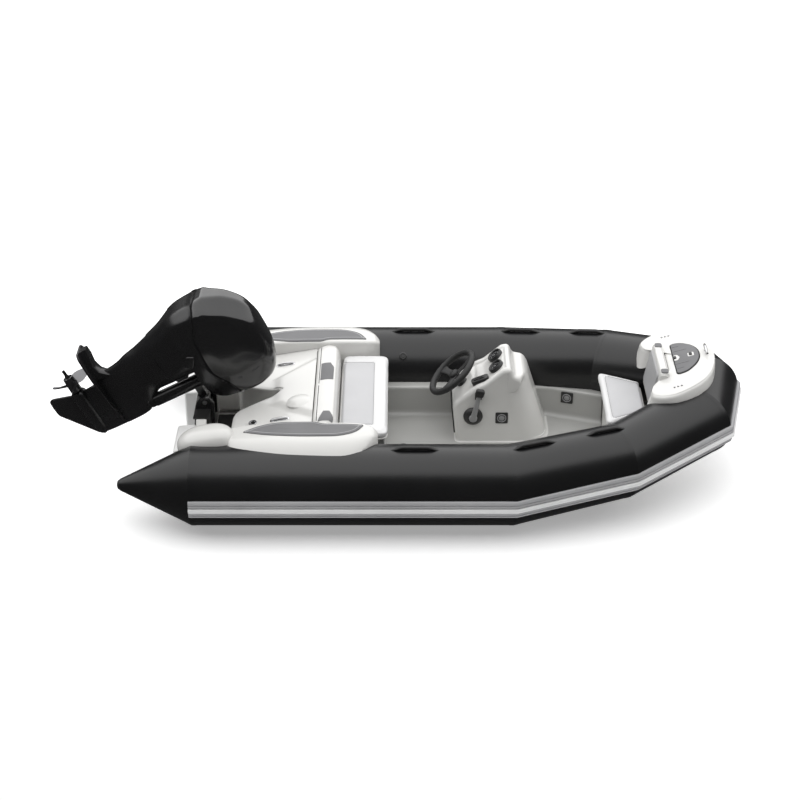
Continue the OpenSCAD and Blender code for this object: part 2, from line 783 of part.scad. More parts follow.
module gearcase() {
    nose = -53;
    case_r = 48;
    case_aft = shaft_x + 55;
    color("#1a1a1a") tilted() {
        loft([almond(-555, -72, 92, plate_z), almond(-560, -66, 94, plate_z - 12)]);
        loft([almond(-356, -78, 42, plate_z - 12), almond(-345, -70, 34, 34 - shaft_drop)]);
        translate([case_aft, 0, -shaft_drop]) rotate([0, 90, 0]) {
            cylinder(r = case_r, h = nose - case_aft - 110, $fn = 64);
            translate([0, 0, nose - case_aft - 110]) cylinder(r1 = case_r, r2 = 12, h = 110, $fn = 64);
        }
        translate([0, 5, 0]) in_side_view(-10, 0) polygon([
            [shaft_x + 60, 20 - case_r - shaft_drop], [shaft_x + 18, -178 - shaft_drop], [shaft_x + 74, -178 - shaft_drop],
            [-130, 20 - case_r - shaft_drop]
        ]);
        translate([case_aft - 150, 0, -shaft_drop]) rotate([0, 90, 0]) cylinder(r = shaft_r, h = 160, $fn = 48);
    }
}

// The tray under the cowl, and the apron that runs down behind the bracket to the leg
pan_z = 145;
pan_low = -110;
function cowl_ring(x0, x1, half, z, n = 20) = [for (k = [0 : n - 1]) let(
    a = 360 * k / n, c = cos(a), s = sin(a), p = 0.62
) [(x0 + x1) / 2 + (x1 - x0) / 2 * sign(c) * pow(abs(c), p), half * sign(s) * pow(abs(s), p), z]];
module engine_pan() {
    half = cowl_w / 2 - 8;
    color("#151515") tilted() {
        loft([cowl_ring(-590, 72, half, pan_z), cowl_ring(-590, 66, half - 12, pan_z - 30),
            cowl_ring(-588, 20, half - 40, housing_high + clear + boss_t + gap)]);
        loft([cowl_ring(-588, leg_front, half - 40, housing_high + clear + boss_t + gap), cowl_ring(-572, leg_front, 110, -30),
            cowl_ring(-520, leg_front, 76, pan_low)]);
    }
}

module powerhead() {
    block = [330, 220, 230];
    color("#555555") tilted() translate([-430, -block.y / 2, pan_z + gap]) cube(block);
}

cowl_t = 5;
cowl_levels = [
    // [aft end, fore end, half width less than the cowl's, height]
    [-592, 76, 0, 145], [-596, 86, 0, 240], [-585, 84, 8, 330], [-550, 60, 28, 400], [-490, 10, 60, 450], [-430, -60, 105, 478]
];
module engine_cowl() {
    half = cowl_w / 2;
    outer = [for (c = cowl_levels) cowl_ring(c[0], c[1], half - c[2], c[3] + gap)];
    inner = [for (c = cowl_levels) cowl_ring(c[0] + cowl_t, c[1] - cowl_t, half - c[2] - cowl_t,
        c[3] + (c[3] > pan_z ? -cowl_t : gap))];
    color("#111111") tilted() loft(concat(backwards(outer), inner));
}

module propeller() {
    hub_r = 32;
    hub_l = 96;
    blades = 3;
    pitch = 28;
    color("#161616") tilted() translate([shaft_x + 50, 0, -shaft_drop]) rotate([0, -90, 0]) difference() {
        union() {
            cylinder(r = hub_r, h = hub_l, $fn = 64);
            for (k = [0 : blades - 1]) rotate([0, 0, 120 * k + 60]) translate([hub_r - 8, 0, hub_l / 2]) rotate([pitch, 0, 0])
                blade();
        }
        translate([0, 0, -1]) cylinder(r = shaft_r + run, h = hub_l + 2, $fn = 48);
    }
}

module blade() {
    reach = prop_d / 2 - 24;
    blade_t = 6;
    rotate([90, 0, 0]) translate([0, 0, -blade_t / 2]) linear_extrude(blade_t) polygon([
        [0, -26], [reach * 0.45, -46], [reach * 0.9, -38], [reach, -8], [reach * 0.92, 30], [reach * 0.5, 44], [0, 26]
    ]);
}

rigid_hull();
cockpit_sole();
cockpit_sides();
transom_board();
stern_wings();
aft_deck();
side_tubes();
shoulder_tubes();
bow_tubes();
nose_tube();
rubbing_strake();
strake_insert();
cone_caps();
tube_valves();
grab_handles();
tow_eyes();
quarter_mouldings();
quarter_pads();
stern_steps();
stern_cleats();
fuel_filler();
aft_seat_base();
aft_seat_lid();
aft_seat_cushion();
aft_backrest();
bow_seat_base();
bow_seat_lid();
bow_seat_cushion();
bow_moulding();
bow_hatch();
bow_cleat();
console();
console_door();
gauges();
dash_panels();
steering_column();
steering_wheel();
throttle_box();
throttle_lever();
vents();
clamp_bracket();
tilt_tube();
swivel_bracket();
steering_pivot();
leg();
gearcase();
engine_pan();
powerhead();
engine_cowl();
propeller();
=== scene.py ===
"""The looks of an inflatable rib boat with a tilted outboard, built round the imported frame."""
import math

import bmesh
import bpy
from mathutils import Matrix, Vector


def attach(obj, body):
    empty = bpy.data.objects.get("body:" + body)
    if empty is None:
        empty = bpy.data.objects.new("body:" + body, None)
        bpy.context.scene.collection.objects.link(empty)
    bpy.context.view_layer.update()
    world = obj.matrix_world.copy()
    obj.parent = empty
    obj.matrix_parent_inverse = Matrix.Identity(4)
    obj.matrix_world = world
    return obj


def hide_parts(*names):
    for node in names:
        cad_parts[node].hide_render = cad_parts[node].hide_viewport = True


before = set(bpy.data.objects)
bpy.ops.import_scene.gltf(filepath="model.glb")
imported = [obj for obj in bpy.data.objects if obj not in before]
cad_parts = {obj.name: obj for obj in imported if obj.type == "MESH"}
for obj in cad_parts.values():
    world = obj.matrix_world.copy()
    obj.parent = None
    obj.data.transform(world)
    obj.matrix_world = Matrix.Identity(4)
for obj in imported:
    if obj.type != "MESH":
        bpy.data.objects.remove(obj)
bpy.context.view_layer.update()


# ---------------------------------------------------------------- curves and surfaces
def ease(t):
    """A smooth step from 0 to 1."""
    t = max(0.0, min(1.0, t))
    return t * t * (3 - 2 * t)


def through(xs, ys):
    """A smooth function through the given points, which doesn't overshoot them."""
    gaps = [xs[i + 1] - xs[i] for i in range(len(xs) - 1)]
    slopes = [(ys[i + 1] - ys[i]) / gaps[i] for i in range(len(gaps))]
    lean = [slopes[0]] + [0.0] * (len(xs) - 2) + [slopes[-1]]
    for i in range(1, len(xs) - 1):
        if slopes[i - 1] * slopes[i] > 0:
            wa, wb = 2 * gaps[i] + gaps[i - 1], gaps[i] + 2 * gaps[i - 1]
            lean[i] = (wa + wb) / (wa / slopes[i - 1] + wb / slopes[i])

    def value(x):
        i = 0
        while i < len(gaps) - 1 and x > xs[i + 1]:
            i += 1
        h, t = gaps[i], max(0.0, min(1.0, (x - xs[i]) / gaps[i]))
        return (ys[i] * (1 + 2 * t) * (1 - t) ** 2 + h * lean[i] * t * (1 - t) ** 2
                + ys[i + 1] * t * t * (3 - 2 * t) + h * lean[i + 1] * t * t * (t - 1))
    return value


def spread(a, b, n):
    """n + 1 even steps from a to b."""
    return [a + (b - a) * k / n for k in range(n + 1)]


def rounded(points, radius, steps=5):
    """A closed outline with its corners rounded; radius is one number or one for each corner."""
    points = [Vector(p) for p in points]
    radii = radius if isinstance(radius, (list, tuple)) else [radius] * len(points)
    out = []
    for i, p in enumerate(points):
        a, b = points[i - 1] - p, points[(i + 1) % len(points)] - p
        r = min(radii[i], a.length * 0.49, b.length * 0.49)
        if r <= 0:
            out.append(p)
            continue
        a, b = p + a.normalized() * r, p + b.normalized() * r
        for t in spread(0, 1, steps):
            out.append(a * (1 - t) ** 2 + p * 2 * t * (1 - t) + b * t * t)
    return out


def resampled(points, count, closed=True):
    """The same outline as count even steps along its length."""
    points = [Vector(p) for p in points]
    if closed:
        points.append(points[0])
    lengths = [0.0]
    for a, b in zip(points, points[1:]):
        lengths.append(lengths[-1] + (b - a).length)
    out, i = [], 0
    for k in range(count):
        s = lengths[-1] * k / (count if closed else count - 1)
        while i < len(points) - 2 and lengths[i + 1] < s:
            i += 1
        t = (s - lengths[i]) / max(lengths[i + 1] - lengths[i], 1e-9)
        out.append(points[i].lerp(points[i + 1], t))
    return out


def inset(outline, amount):
    """An outline in a plane moved inwards, each point along its own normal; amount may differ by point."""
    n = len(outline)
    area = sum(outline[i].x * outline[(i + 1) % n].y - outline[(i + 1) % n].x * outline[i].y for i in range(n))
    side = 1 if area > 0 else -1
    out = []
    for i, p in enumerate(outline):
        way = (outline[(i + 1) % n] - outline[i - 1]).normalized()
        step = amount[i] if isinstance(amount, (list, tuple)) else amount
        out.append(p + Vector((-way.y, way.x)) * side * step)
    return out


def skin(rings, closed=True, caps=(True, True)):
    """The surface through rings of equally many points."""
    n = len(rings[0])
    faces = []
    for j in range(len(rings) - 1):
        for k in range(n if closed else n - 1):
            a, b = j * n + k, j * n + (k + 1) % n
            faces.append((a, b, b + n, a + n))
    if caps[0]:
        faces.append(tuple(range(n - 1, -1, -1)))
    if caps[1]:
        faces.append(tuple((len(rings) - 1) * n + k for k in range(n)))
    return [Vector(p) for r in rings for p in r], faces


def turned(profile, steps=64):
    """A body of revolution about Z from its [radius, height] outline, closed at its two ends."""
    rings = []
    for r, z in profile:
        r = max(r, 1e-5)
        rings.append([(r * math.cos(2 * math.pi * k / steps), r * math.sin(2 * math.pi * k / steps), z)
                      for k in range(steps)])
    return skin(rings)


def swept(path, section, closed=False, up=(0, 0, 1)):
    """A section carried along a path; section(t) gives its [sideways, upwards] points at share t."""
    path = [Vector(p) for p in path]
    rings, n = [], len(path)
    for i, p in enumerate(path):
        ahead = path[(i + 1) % n] if closed or i < n - 1 else p
        behind = path[i - 1] if closed or i else p
        way = (ahead - behind).normalized()
        side = way.cross(Vector(up)).normalized()
        top = side.cross(way)
        rings.append([p + side * a + top * b for a, b in section(i / max(n - 1, 1))])
    if closed:
        rings.append(rings[0])
    return skin(rings, caps=(not closed, not closed))


def circle(radius, n=16):
    return [(radius * math.cos(2 * math.pi * k / n), radius * math.sin(2 * math.pi * k / n)) for k in range(n)]


def moved(shape, matrix):
    return [matrix @ v for v in shape[0]], shape[1]


def mirrored(shape):
    return [Vector((v.x, -v.y, v.z)) for v in shape[0]], shape[1]


def both(shape):
    return [shape, mirrored(shape)]


def plate(outline, z0, z1, edge=0.002):
    """A flat plate with eased edges, from its plan outline."""
    outline = [Vector((p[0], p[1])) for p in outline]
    rings = [[(p.x, p.y, z0) for p in outline]]
    for k in range(4):
        a = math.pi / 2 * k / 3
        rings.append([(p.x, p.y, z1 - edge * (1 - math.sin(a)))
                      for p in inset(outline, edge * (1 - math.cos(a)))])
    return skin(rings)


def piece(name, shapes, material, crease=35, bevel=0.0, rounds=3, subdivide=0):
    """A finished mesh from one or more shapes."""
    bm = bmesh.new()
    for verts, faces in shapes:
        made = [bm.verts.new(v) for v in verts]
        for f in faces:
            corners = [made[i] for i in f]
            if len(set(corners)) > 2:
                bm.faces.new(corners)
    bmesh.ops.remove_doubles(bm, verts=bm.verts, dist=2e-6)
    bmesh.ops.recalc_face_normals(bm, faces=bm.faces)
    mesh = bpy.data.meshes.new(name)
    bm.to_mesh(mesh)
    bm.free()
    return shown(name, mesh, material, crease, bevel, rounds, subdivide)


def shown(name, mesh, material, crease=35, bevel=0.0, rounds=3, subdivide=0):
    obj = bpy.data.objects.new(name, mesh)
    bpy.context.scene.collection.objects.link(obj)
    mesh.materials.clear()
    mesh.materials.append(material)
    mesh.shade_smooth()
    mesh.set_sharp_from_angle(angle=math.radians(crease))
    if subdivide:
        mod = obj.modifiers.new("Smooth", "SUBSURF")
        mod.levels = mod.render_levels = subdivide
    if bevel:
        mod = obj.modifiers.new("Eased edges", "BEVEL")
        mod.width, mod.segments = bevel, rounds
        mod.limit_method, mod.angle_limit = "ANGLE", math.radians(32)
        mod.use_clamp_overlap = True
        mod.harden_normals = True
    return obj


def fit(obj, body, slot, *nodes):
    """The piece rides on its body and stands for these nodes."""
    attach(obj, body)
    if nodes:
        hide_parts(*nodes)
    return obj


def eased_copy(node, name, body, slot, material, width, rounds=3):
    """A CAD node with rounded edges."""
    bm = bmesh.new()
    bm.from_mesh(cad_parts[node].data)
    bmesh.ops.remove_doubles(bm, verts=bm.verts, dist=1e-5)
    bmesh.ops.dissolve_limit(bm, angle_limit=math.radians(2), verts=bm.verts, edges=bm.edges)
    mesh = bpy.data.meshes.new(name)
    bm.to_mesh(mesh)
    bm.free()
    return fit(shown(name, mesh, material, 30, width, rounds), body, slot, node)


# ---------------------------------------------------------------- finishes
def finish(name, colour, rough, metal=0.0, mottle=0.05, grain=500.0, depth=0.1, coat=0.0, patch=4.0,
           stretch=(1, 1, 1), cells=0.0, specular=0.5, sheen=0.0):
    """A surface with faint colour and gloss variation and a fine relief."""
    mat = bpy.data.materials.new(name)
    mat.use_nodes = True
    tree = mat.node_tree
    shader = tree.nodes["Principled BSDF"]
    shader.inputs["Metallic"].default_value = metal
    shader.inputs["Specular IOR Level"].default_value = specular
    shader.inputs["Coat Weight"].default_value = coat
    shader.inputs["Coat Roughness"].default_value = 0.06
    shader.inputs["Sheen Weight"].default_value = sheen
    where = tree.nodes.new("ShaderNodeTexCoord")
    place = tree.nodes.new("ShaderNodeMapping")
    place.inputs["Scale"].default_value = stretch
    tree.links.new(where.outputs["Object"], place.inputs["Vector"])
    cloud = tree.nodes.new("ShaderNodeTexNoise")
    cloud.inputs["Scale"].default_value = patch
    cloud.inputs["Detail"].default_value = 5
    tree.links.new(place.outputs["Vector"], cloud.inputs["Vector"])
    tone = tree.nodes.new("ShaderNodeValToRGB")
    tone.color_ramp.elements[0].position, tone.color_ramp.elements[1].position = 0.3, 0.7
    for end, share in ((0, 1 - mottle), (1, 1 + mottle)):
        tone.color_ramp.elements[end].color = [min(1.0, c * share) for c in colour] + [1]
    tree.links.new(cloud.outputs["Fac"], tone.inputs["Fac"])
    tree.links.new(tone.outputs["Color"], shader.inputs["Base Color"])
    gloss = tree.nodes.new("ShaderNodeMapRange")
    gloss.inputs["To Min"].default_value = max(0.02, rough - 0.05)
    gloss.inputs["To Max"].default_value = min(1.0, rough + 0.05)
    tree.links.new(cloud.outputs["Fac"], gloss.inputs["Value"])
    tree.links.new(gloss.outputs["Result"], shader.inputs["Roughness"])
    fine = tree.nodes.new("ShaderNodeTexVoronoi" if cells else "ShaderNodeTexNoise")
    fine.inputs["Scale"].default_value = cells or grain
    tree.links.new(place.outputs["Vector"], fine.inputs["Vector"])
    bump = tree.nodes.new("ShaderNodeBump")
    bump.inputs["Strength"].default_value = depth
    bump.inputs["Distance"].default_value = 0.0006
    tree.links.new(fine.outputs["Distance" if cells else "Fac"], bump.inputs["Height"])
    tree.links.new(bump.outputs["Normal"], shader.inputs["Normal"])
    return mat


tube_black = finish("Tube_Fabric", (0.0075, 0.0075, 0.008), 0.31, mottle=0.12, grain=1400, depth=0.12)
strake_grey = finish("Strake_Rubber", (0.40, 0.40, 0.41), 0.5, mottle=0.06, grain=700, depth=0.15)
strake_white = finish("Strake_Rib", (0.80, 0.80, 0.80), 0.4, grain=700, depth=0.1)
gelcoat = finish("White_Gelcoat", (0.70, 0.695, 0.675), 0.24, mottle=0.02, grain=90, depth=0.03, coat=0.35)
# Painted shade: a darker copy of the white gelcoat for the cockpit walls and the aft seat's locker, which stand in
# shade
shaded_gelcoat = finish("Shaded_White_Gelcoat", (0.43, 0.43, 0.415), 0.3, mottle=0.03, grain=90, depth=0.04, coat=0.2)
nonslip = finish("Nonslip_Sole", (0.42, 0.42, 0.405), 0.55, mottle=0.05, depth=0.7, cells=260)
vinyl = finish("Seat_Vinyl", (0.70, 0.70, 0.70), 0.42, mottle=0.03, depth=0.35, cells=520)
vinyl_grey = finish("Seat_Panel_Vinyl", (0.50, 0.50, 0.51), 0.5, mottle=0.04, depth=0.4, cells=480)
pad_grey = finish("Deck_Pad", (0.175, 0.175, 0.18), 0.75, mottle=0.08, grain=900, depth=0.5)
pad_line = finish("Deck_Pad_Rib", (0.38, 0.38, 0.385), 0.7, mottle=0.05, grain=900, depth=0.4)
steel = finish("Polished_Steel", (0.62, 0.62, 0.63), 0.14, metal=1.0, mottle=0.06, grain=300, depth=0.03)
black = finish("Black_Moulding", (0.018, 0.018, 0.018), 0.38, mottle=0.15, grain=800, depth=0.25)
grip = finish("Grip_Rubber", (0.014, 0.014, 0.014), 0.55, mottle=0.1, depth=0.5, cells=420)
grey_plastic = finish("Grey_Moulding", (0.30, 0.30, 0.305), 0.45, mottle=0.06, grain=700, depth=0.2)
engine_satin = finish("Engine_Paint", (0.008, 0.008, 0.0085), 0.26, mottle=0.12, grain=60, depth=0.01)
engine_gloss = finish("Cowl_Paint", (0.008, 0.008, 0.0085), 0.17, mottle=0.1, grain=40, depth=0.004, coat=0.35)
prop_metal = finish("Propeller_Metal", (0.16, 0.16, 0.165), 0.34, metal=1.0, mottle=0.1, grain=400, depth=0.1)
iron = finish("Engine_Block", (0.12, 0.12, 0.12), 0.6, metal=0.7, grain=300, depth=0.3)
bare_steel = finish("Bracket_Steel", (0.20, 0.20, 0.205), 0.35, metal=1.0, mottle=0.08, grain=600, depth=0.1,
                    stretch=(1, 1, 12))
glass = finish("Dial_Glass", (0.02, 0.02, 0.022), 0.06, mottle=0.02, grain=50, depth=0.0, coat=0.8)
seam_grey = finish("Seam_Thread", (0.24, 0.24, 0.245), 0.7, mottle=0.1, grain=2500, depth=0.5)
panel_vinyl = finish("Backrest_Vinyl", (0.36, 0.36, 0.365), 0.5, mottle=0.05, depth=0.4, cells=480)
# Painted light: a brighter copy of the white gelcoat, so that the stern wings stay bright in the cowl's shadow
brightened_stern_gelcoat = finish("Brightened_Stern_Gelcoat", (0.86, 0.86, 0.85), 0.3, mottle=0.02, grain=90, depth=0.03)
# Painted shade: a near-black for the shade in seams, grooves, joints and the gap round the bow hatch
painted_gap_shade = finish("Shadow_Gap", (0.01, 0.01, 0.01), 0.8, grain=200, depth=0.1)

# ---------------------------------------------------------------- camera, light and floor
stage = bpy.context.scene
lens = bpy.data.cameras.new("Camera")
lens.lens, lens.sensor_width = 81.0, 36.0
lens.clip_end = 200
camera = bpy.data.objects.new("Camera", lens)
camera.location = (-0.235, -8.835, 5.567)
camera.rotation_euler = (math.radians(59.52), 0, 0)
stage.collection.objects.link(camera)
stage.camera = camera

softbox_span, softbox_radiance = (14.0, 12.0), 1.75
softbox = bpy.data.lights.new("Softbox", "AREA")
softbox.shape, softbox.size, softbox.size_y = "RECTANGLE", *softbox_span
softbox.energy = math.pi * softbox_span[0] * softbox_span[1] * softbox_radiance
lamp = bpy.data.objects.new("Softbox", softbox)
lamp.location = (0, 3.4, 3.3)
stage.collection.objects.link(lamp)

world = bpy.data.worlds.new("Studio")
world.use_nodes = True
world.node_tree.nodes["Background"].inputs["Color"].default_value = (0.06, 0.06, 0.06, 1)
stage.world = world
stage.view_settings.view_transform = "Standard"

floor_mesh = bpy.data.meshes.new("Floor")
reach = 60
floor_mesh.from_pydata([(-reach, -reach, 0), (reach, -reach, 0), (reach, reach, 0), (-reach, reach, 0)], [],
                       [(0, 1, 2, 3)])
floor = bpy.data.objects.new("Floor", floor_mesh)
stage.collection.objects.link(floor)
floor_paint = finish("Floor_Paint", (0.9, 0.9, 0.9), 0.9, mottle=0.0, depth=0.0, specular=0.0)
floor_shader = floor_paint.node_tree.nodes["Principled BSDF"]
floor_shader.inputs["Emission Color"].default_value = (1, 1, 1, 1)
floor_shader.inputs["Emission Strength"].default_value = 0.34
floor_mesh.materials.append(floor_paint)
floor.visible_glossy = False

# ---------------------------------------------------------------- tubes
# Centreline points of the port tube from the stern cone to the stem, and the radius at each
tube_path = [Vector(p) for p in (
    (-1.750, 0.670, 0.230), (-1.360, 0.670, 0.230), (0.365, 0.670, 0.230),
    (0.965, 0.541, 0.302), (1.411, 0.266, 0.396), (1.473, 0.0, 0.451))]
tube_r = [0.032, 0.220, 0.220, 0.204, 0.196, 0.200]
stem = len(tube_path) - 1


def mitre(i):
    """The step towards the centreline in the mitre plane at a knuckle."""
    def inboard(j):
        way = tube_path[j + 1] - tube_path[j]
        return Vector((way.y, -way.x)).normalized()
    if i == stem:
        return Vector((-1, 0)) / abs(inboard(stem - 1).x)
    a, b = inboard(max(i - 1, 0)), inboard(i)
    m = (a + b).normalized()
    return m / m.dot(b)


mitres = [mitre(i) for i in range(stem + 1)]


def on_tube(i, radius, angle):
    """A point round the tube at knuckle i: angle 0 is inboard, 90 is up and 180 is outboard."""
    a = math.radians(angle)
    step = mitres[i] * radius * math.cos(a)
    return tube_path[i] + Vector((step.x, step.y, radius * math.sin(a)))


def knuckle_ring(i, grow=0.0, sides=120):
    return [on_tube(i, tube_r[i] + grow, 360 * k / sides) for k in range(sides)]


def at_x(x, values):
    """A value interpolated along the tube's knuckles."""
    for i in range(stem):
        a, b = tube_path[i].x, tube_path[i + 1].x
        if x <= b or i == stem - 1:
            t = (x - a) / (b - a)
            return values[i] + (values[i + 1] - values[i]) * t


def tube_y(x):
    return at_x(x, [p.y for p in tube_path])


def tube_z(x):
    return at_x(x, [p.z for p in tube_path])


def radius(x):
    return at_x(x, tube_r)


def between(i, steps):
    """Rings from knuckle i to the next, straight between the mitres."""
    a, b = knuckle_ring(i), knuckle_ring(i + 1)
    return [[p.lerp(q, t) for p, q in zip(a, b)] for t in spread(0, 1, steps)]


side = skin(between(0, 6)[:-1] + between(1, 12))
fit(piece("side_tube_skins", both(skin(between(0, 6))) + both(skin(between(1, 12))), tube_black),
    "root", "tube_skin", "side_tubes")
fit(piece("shoulder_tube_skins", both(skin(between(2, 8))), tube_black), "root", "tube_skin", "shoulder_tubes")
fit(piece("bow_tube_skins", both(skin(between(3, 8))), tube_black), "root", "tube_skin", "bow_tubes")
port_nose = between(4, 4)
starboard_nose = [[Vector((p.x, -p.y, p.z)) for p in r] for r in port_nose]
fit(piece("nose_tube_skin", [skin(port_nose), skin(starboard_nose)], tube_black), "root", "tube_skin", "nose_tube")


def seam_tape(i, half, lift=0.0009):
    """A welded tape over the joint at knuckle i."""
    a, b = (tube_path[i] - tube_path[i - 1]).length, (tube_path[i + 1] - tube_path[i]).length
    rings = [[p.lerp(q, half / a) for p, q in zip(knuckle_ring(i, lift), knuckle_ring(i - 1, lift))],
             knuckle_ring(i, lift),
             [p.lerp(q, half / b) for p, q in zip(knuckle_ring(i, lift), knuckle_ring(i + 1, lift))]]
    return skin(rings, caps=(False, False))


tapes = [s for i in range(1, stem) for s in both(seam_tape(i, 0.022))]
fit(piece("tube_seam_tapes", tapes, tube_black, crease=3), "root", "tube_skin")

# A moulded cap on the end of each stern cone
cap_outline = [(0.0, 0.016), (0.012, 0.0155), (0.022, 0.012), (0.027, 0.006), (0.029, 0.0), (0.034, -0.006), (0.034, -0.02)]
cap_at = Matrix.Translation(tube_path[0]) @ Matrix.Rotation(math.radians(-90), 4, "Y")
fit(piece("cone_end_caps", both(moved(turned(cap_outline, 48), cap_at)), black), "root", "black_plastic", "cone_caps")


def band(section):
    """A moulding along the outside of the tube; section is [distance down the tube, height off it]."""
    rings = []
    for i in range(1, stem + 1):
        ring = [on_tube(i, tube_r[i] + h, 184 + math.degrees(math.asin(s / tube_r[i]))) for s, h in section]
        rings.append(ring)
    back = [[Vector((p.x, -p.y, p.z)) for p in r] for r in rings[-2::-1]]
    return skin(rings + back)


strake_half, rib_half = 0.050, 0.012
strake_section = [(-0.050, 0.0), (-0.050, 0.007), (-0.047, 0.0125), (-0.041, 0.0155), (-0.034, 0.016),
                  (-0.0325, 0.0125), (-0.0295, 0.0125), (-0.028, 0.016), (-0.0165, 0.016), (-0.0145, 0.012),
                  (0.0145, 0.012), (0.0165, 0.016), (0.028, 0.016), (0.0295, 0.0125), (0.0325, 0.0125),
                  (0.034, 0.016), (0.041, 0.0155), (0.047, 0.0125), (0.050, 0.007), (0.050, 0.0)]
rib_section = [(-0.012, 0.0122), (-0.012, 0.020), (-0.009, 0.0235), (-0.004, 0.0242), (0.004, 0.0242),
               (0.009, 0.0235), (0.012, 0.020), (0.012, 0.0122)]
fit(piece("rubbing_strake_moulding", [band(strake_section)], strake_grey, crease=30),
    "root", "strake_grey", "rubbing_strake")
fit(piece("strake_rib", [band(rib_section)], strake_white, crease=30), "root", "strake_white", "strake_insert")

# Grab handles: a raised grip that runs out to a flat tapering tail at each end
handle_places = [(-0.250, 0.190), (0.400, 0.170), (0.800, 0.150)]


def tube_top(x):
    return Vector((x, tube_y(x), tube_z(x) + radius(x)))


def grab_handle(x0, length):
    low, high = tube_top(x0), tube_top(x0 + length)
    way = (high - low).normalized()
    tail = 0.045
    total = (high - low).length + 2 * tail
    start = low - way * tail
    rings = []
    side = Vector((0, 0, 1)).cross(way).normalized()
    up = way.cross(side)
    for k in range(33):
        t = k / 32
        s = t * total
        arch = ease(min(s, total - s) / 0.075)
        half = 0.005 + 0.008 * ease(min(s, total - s) / 0.05)
        thick = 0.003 + 0.008 * arch
        lift = -0.004 + 0.018 * arch
        centre = start + way * s + up * lift
        rings.append([centre + side * half * math.copysign(abs(math.cos(a)) ** 0.7, math.cos(a))
                      + up * thick * math.sin(a) for a in spread(0, 2 * math.pi, 16)[:-1]])
    return skin(rings)


handle_shapes = [s for h in handle_places for s in both(grab_handle(*h))]
fit(piece("tube_grab_handles", handle_shapes, grip), "root", "grip_rubber", "grab_handles")

valve_outline = [(0.0, 0.007), (0.009, 0.007), (0.010, 0.0045), (0.013, 0.0045), (0.0145, 0.008), (0.018, 0.008),
                 (0.0235, 0.004), (0.024, -0.004)]
valve_turn = Matrix.Translation((-0.217, 0.670, 0.230)) @ Matrix.Rotation(math.radians(49.5), 4, "X")
valve_at = valve_turn @ Matrix.Translation((0, 0, 0.2205))
fit(piece("tube_valve_caps", both(moved(turned(valve_outline, 40), valve_at)), black), "root", "black_plastic",
    "tube_valves")

# ---------------------------------------------------------------- hull and cockpit
sole_z, cockpit_half, ledge_z = 0.045, 0.387, 0.226
seat_back_x, sole_fore, wall_bend_x = -0.578, 0.952, 0.640


def wall_y(x):
    if x <= wall_bend_x:
        return cockpit_half
    return cockpit_half + (0.286 - cockpit_half) * (x - wall_bend_x) / (sole_fore - wall_bend_x)


# Hull stations: x, keel height, chine's y and z, edge's y and z, floor's y and z
hull_stations = [
    (-1.320, -0.110, 0.530, -0.015, 0.548, 0.0297, 0.400, 0.0297),
    (0.365, -0.105, 0.520, -0.010, 0.545, 0.0297, 0.400, 0.0297),
    (0.9523, -0.061, 0.402, 0.005, 0.442, 0.0297, 0.300, 0.0297),
    (0.965, -0.060, 0.400, 0.005, 0.440, 0.180, 0.300, 0.0297),
    (1.200, 0.010, 0.250, 0.060, 0.330, 0.230, 0.190, 0.080),
    (1.381, 0.130, 0.110, 0.150, 0.200, 0.330, 0.100, 0.175),
    (1.453, 0.235, 0.012, 0.240, 0.040, 0.330, 0.008, 0.245)]
hull_lines = [through([s[0] for s in hull_stations], [s[k] for s in hull_stations]) for k in range(8)]


def hull_ring(x):
    keel, cy, cz, ey, ez, fy, fz = [line(x) for line in hull_lines[1:]]
    port = [(x, 0.008, keel)]
    port += [(x, 0.008 + (cy * 0.5 - 0.008), keel + (cz - keel) * 0.5 - 0.004), (x, cy * 0.52, keel + (cz - keel) * 0.53 + 0.006)]
    port += [(x, cy, cz), (x, cy + 0.018, cz + 0.002), (x, ey, ez), (x, fy, fz)]
    return port + [(p[0], -p[1], p[2]) for p in reversed(port)]


hull_xs = spread(-1.320, 0.9523, 30) + spread(0.965, 1.453, 20)
fit(piece("hull_bottom", [skin([hull_ring(x) for x in hull_xs])], gelcoat, crease=18, bevel=0.003, rounds=2),
    "root", "gelcoat", "rigid_hull")

sole_edge = 0.024
sole_plan = [(x, wall_y(x) - sole_edge) for x in (seat_back_x + 0.001, wall_bend_x, sole_fore - 0.001)]
sole_plan += [(x, -y) for x, y in reversed(sole_plan)]
fit(piece("cockpit_floor", [plate([Vector(p) for p in sole_plan], 0.031, sole_z, 0.002)], nonslip, crease=60),
    "root", "sole_grey", "cockpit_sole")


def wall_ring(x):
    """The cockpit's side: a cove at its foot, the wall, and a rounded lip that runs to the tube."""
    y = wall_y(x)
    cove, lip = 0.034, 0.016
    points = [(y - cove, sole_z - 0.012), (y - cove, sole_z)]
    for a in spread(0, 90, 6):
        r = math.radians(a)
        points.append((y - cove + cove * math.sin(r), sole_z + cove * (1 - math.cos(r))))
    points.append((y + 0.004, ledge_z - lip - 0.004))
    for a in spread(0, 90, 5):
        r = math.radians(a)
        points.append((y + 0.004 + lip * (1 - math.cos(r)), ledge_z - lip + lip * math.sin(r)))
    foot = tube_y(x) - math.sqrt(max(radius(x) ** 2 - (tube_z(x) - ledge_z) ** 2, 0.0001)) + 0.012
    points += [(max(foot, y + 0.03), ledge_z), (max(foot, y + 0.03), sole_z - 0.012)]
    return [(x, p[0], p[1]) for p in points]


wall_xs = spread(seat_back_x, wall_bend_x, 16) + spread(wall_bend_x, sole_fore, 8)[1:]
# The walls are white gelcoat, painted darker as shade
fit(piece("cockpit_wall_liners", both(skin([wall_ring(x) for x in wall_xs])), shaded_gelcoat, crease=40),
    "root", "gelcoat", "cockpit_sides")

eased_copy("transom_board", "transom_panel", "root", "gelcoat", gelcoat, 0.008)
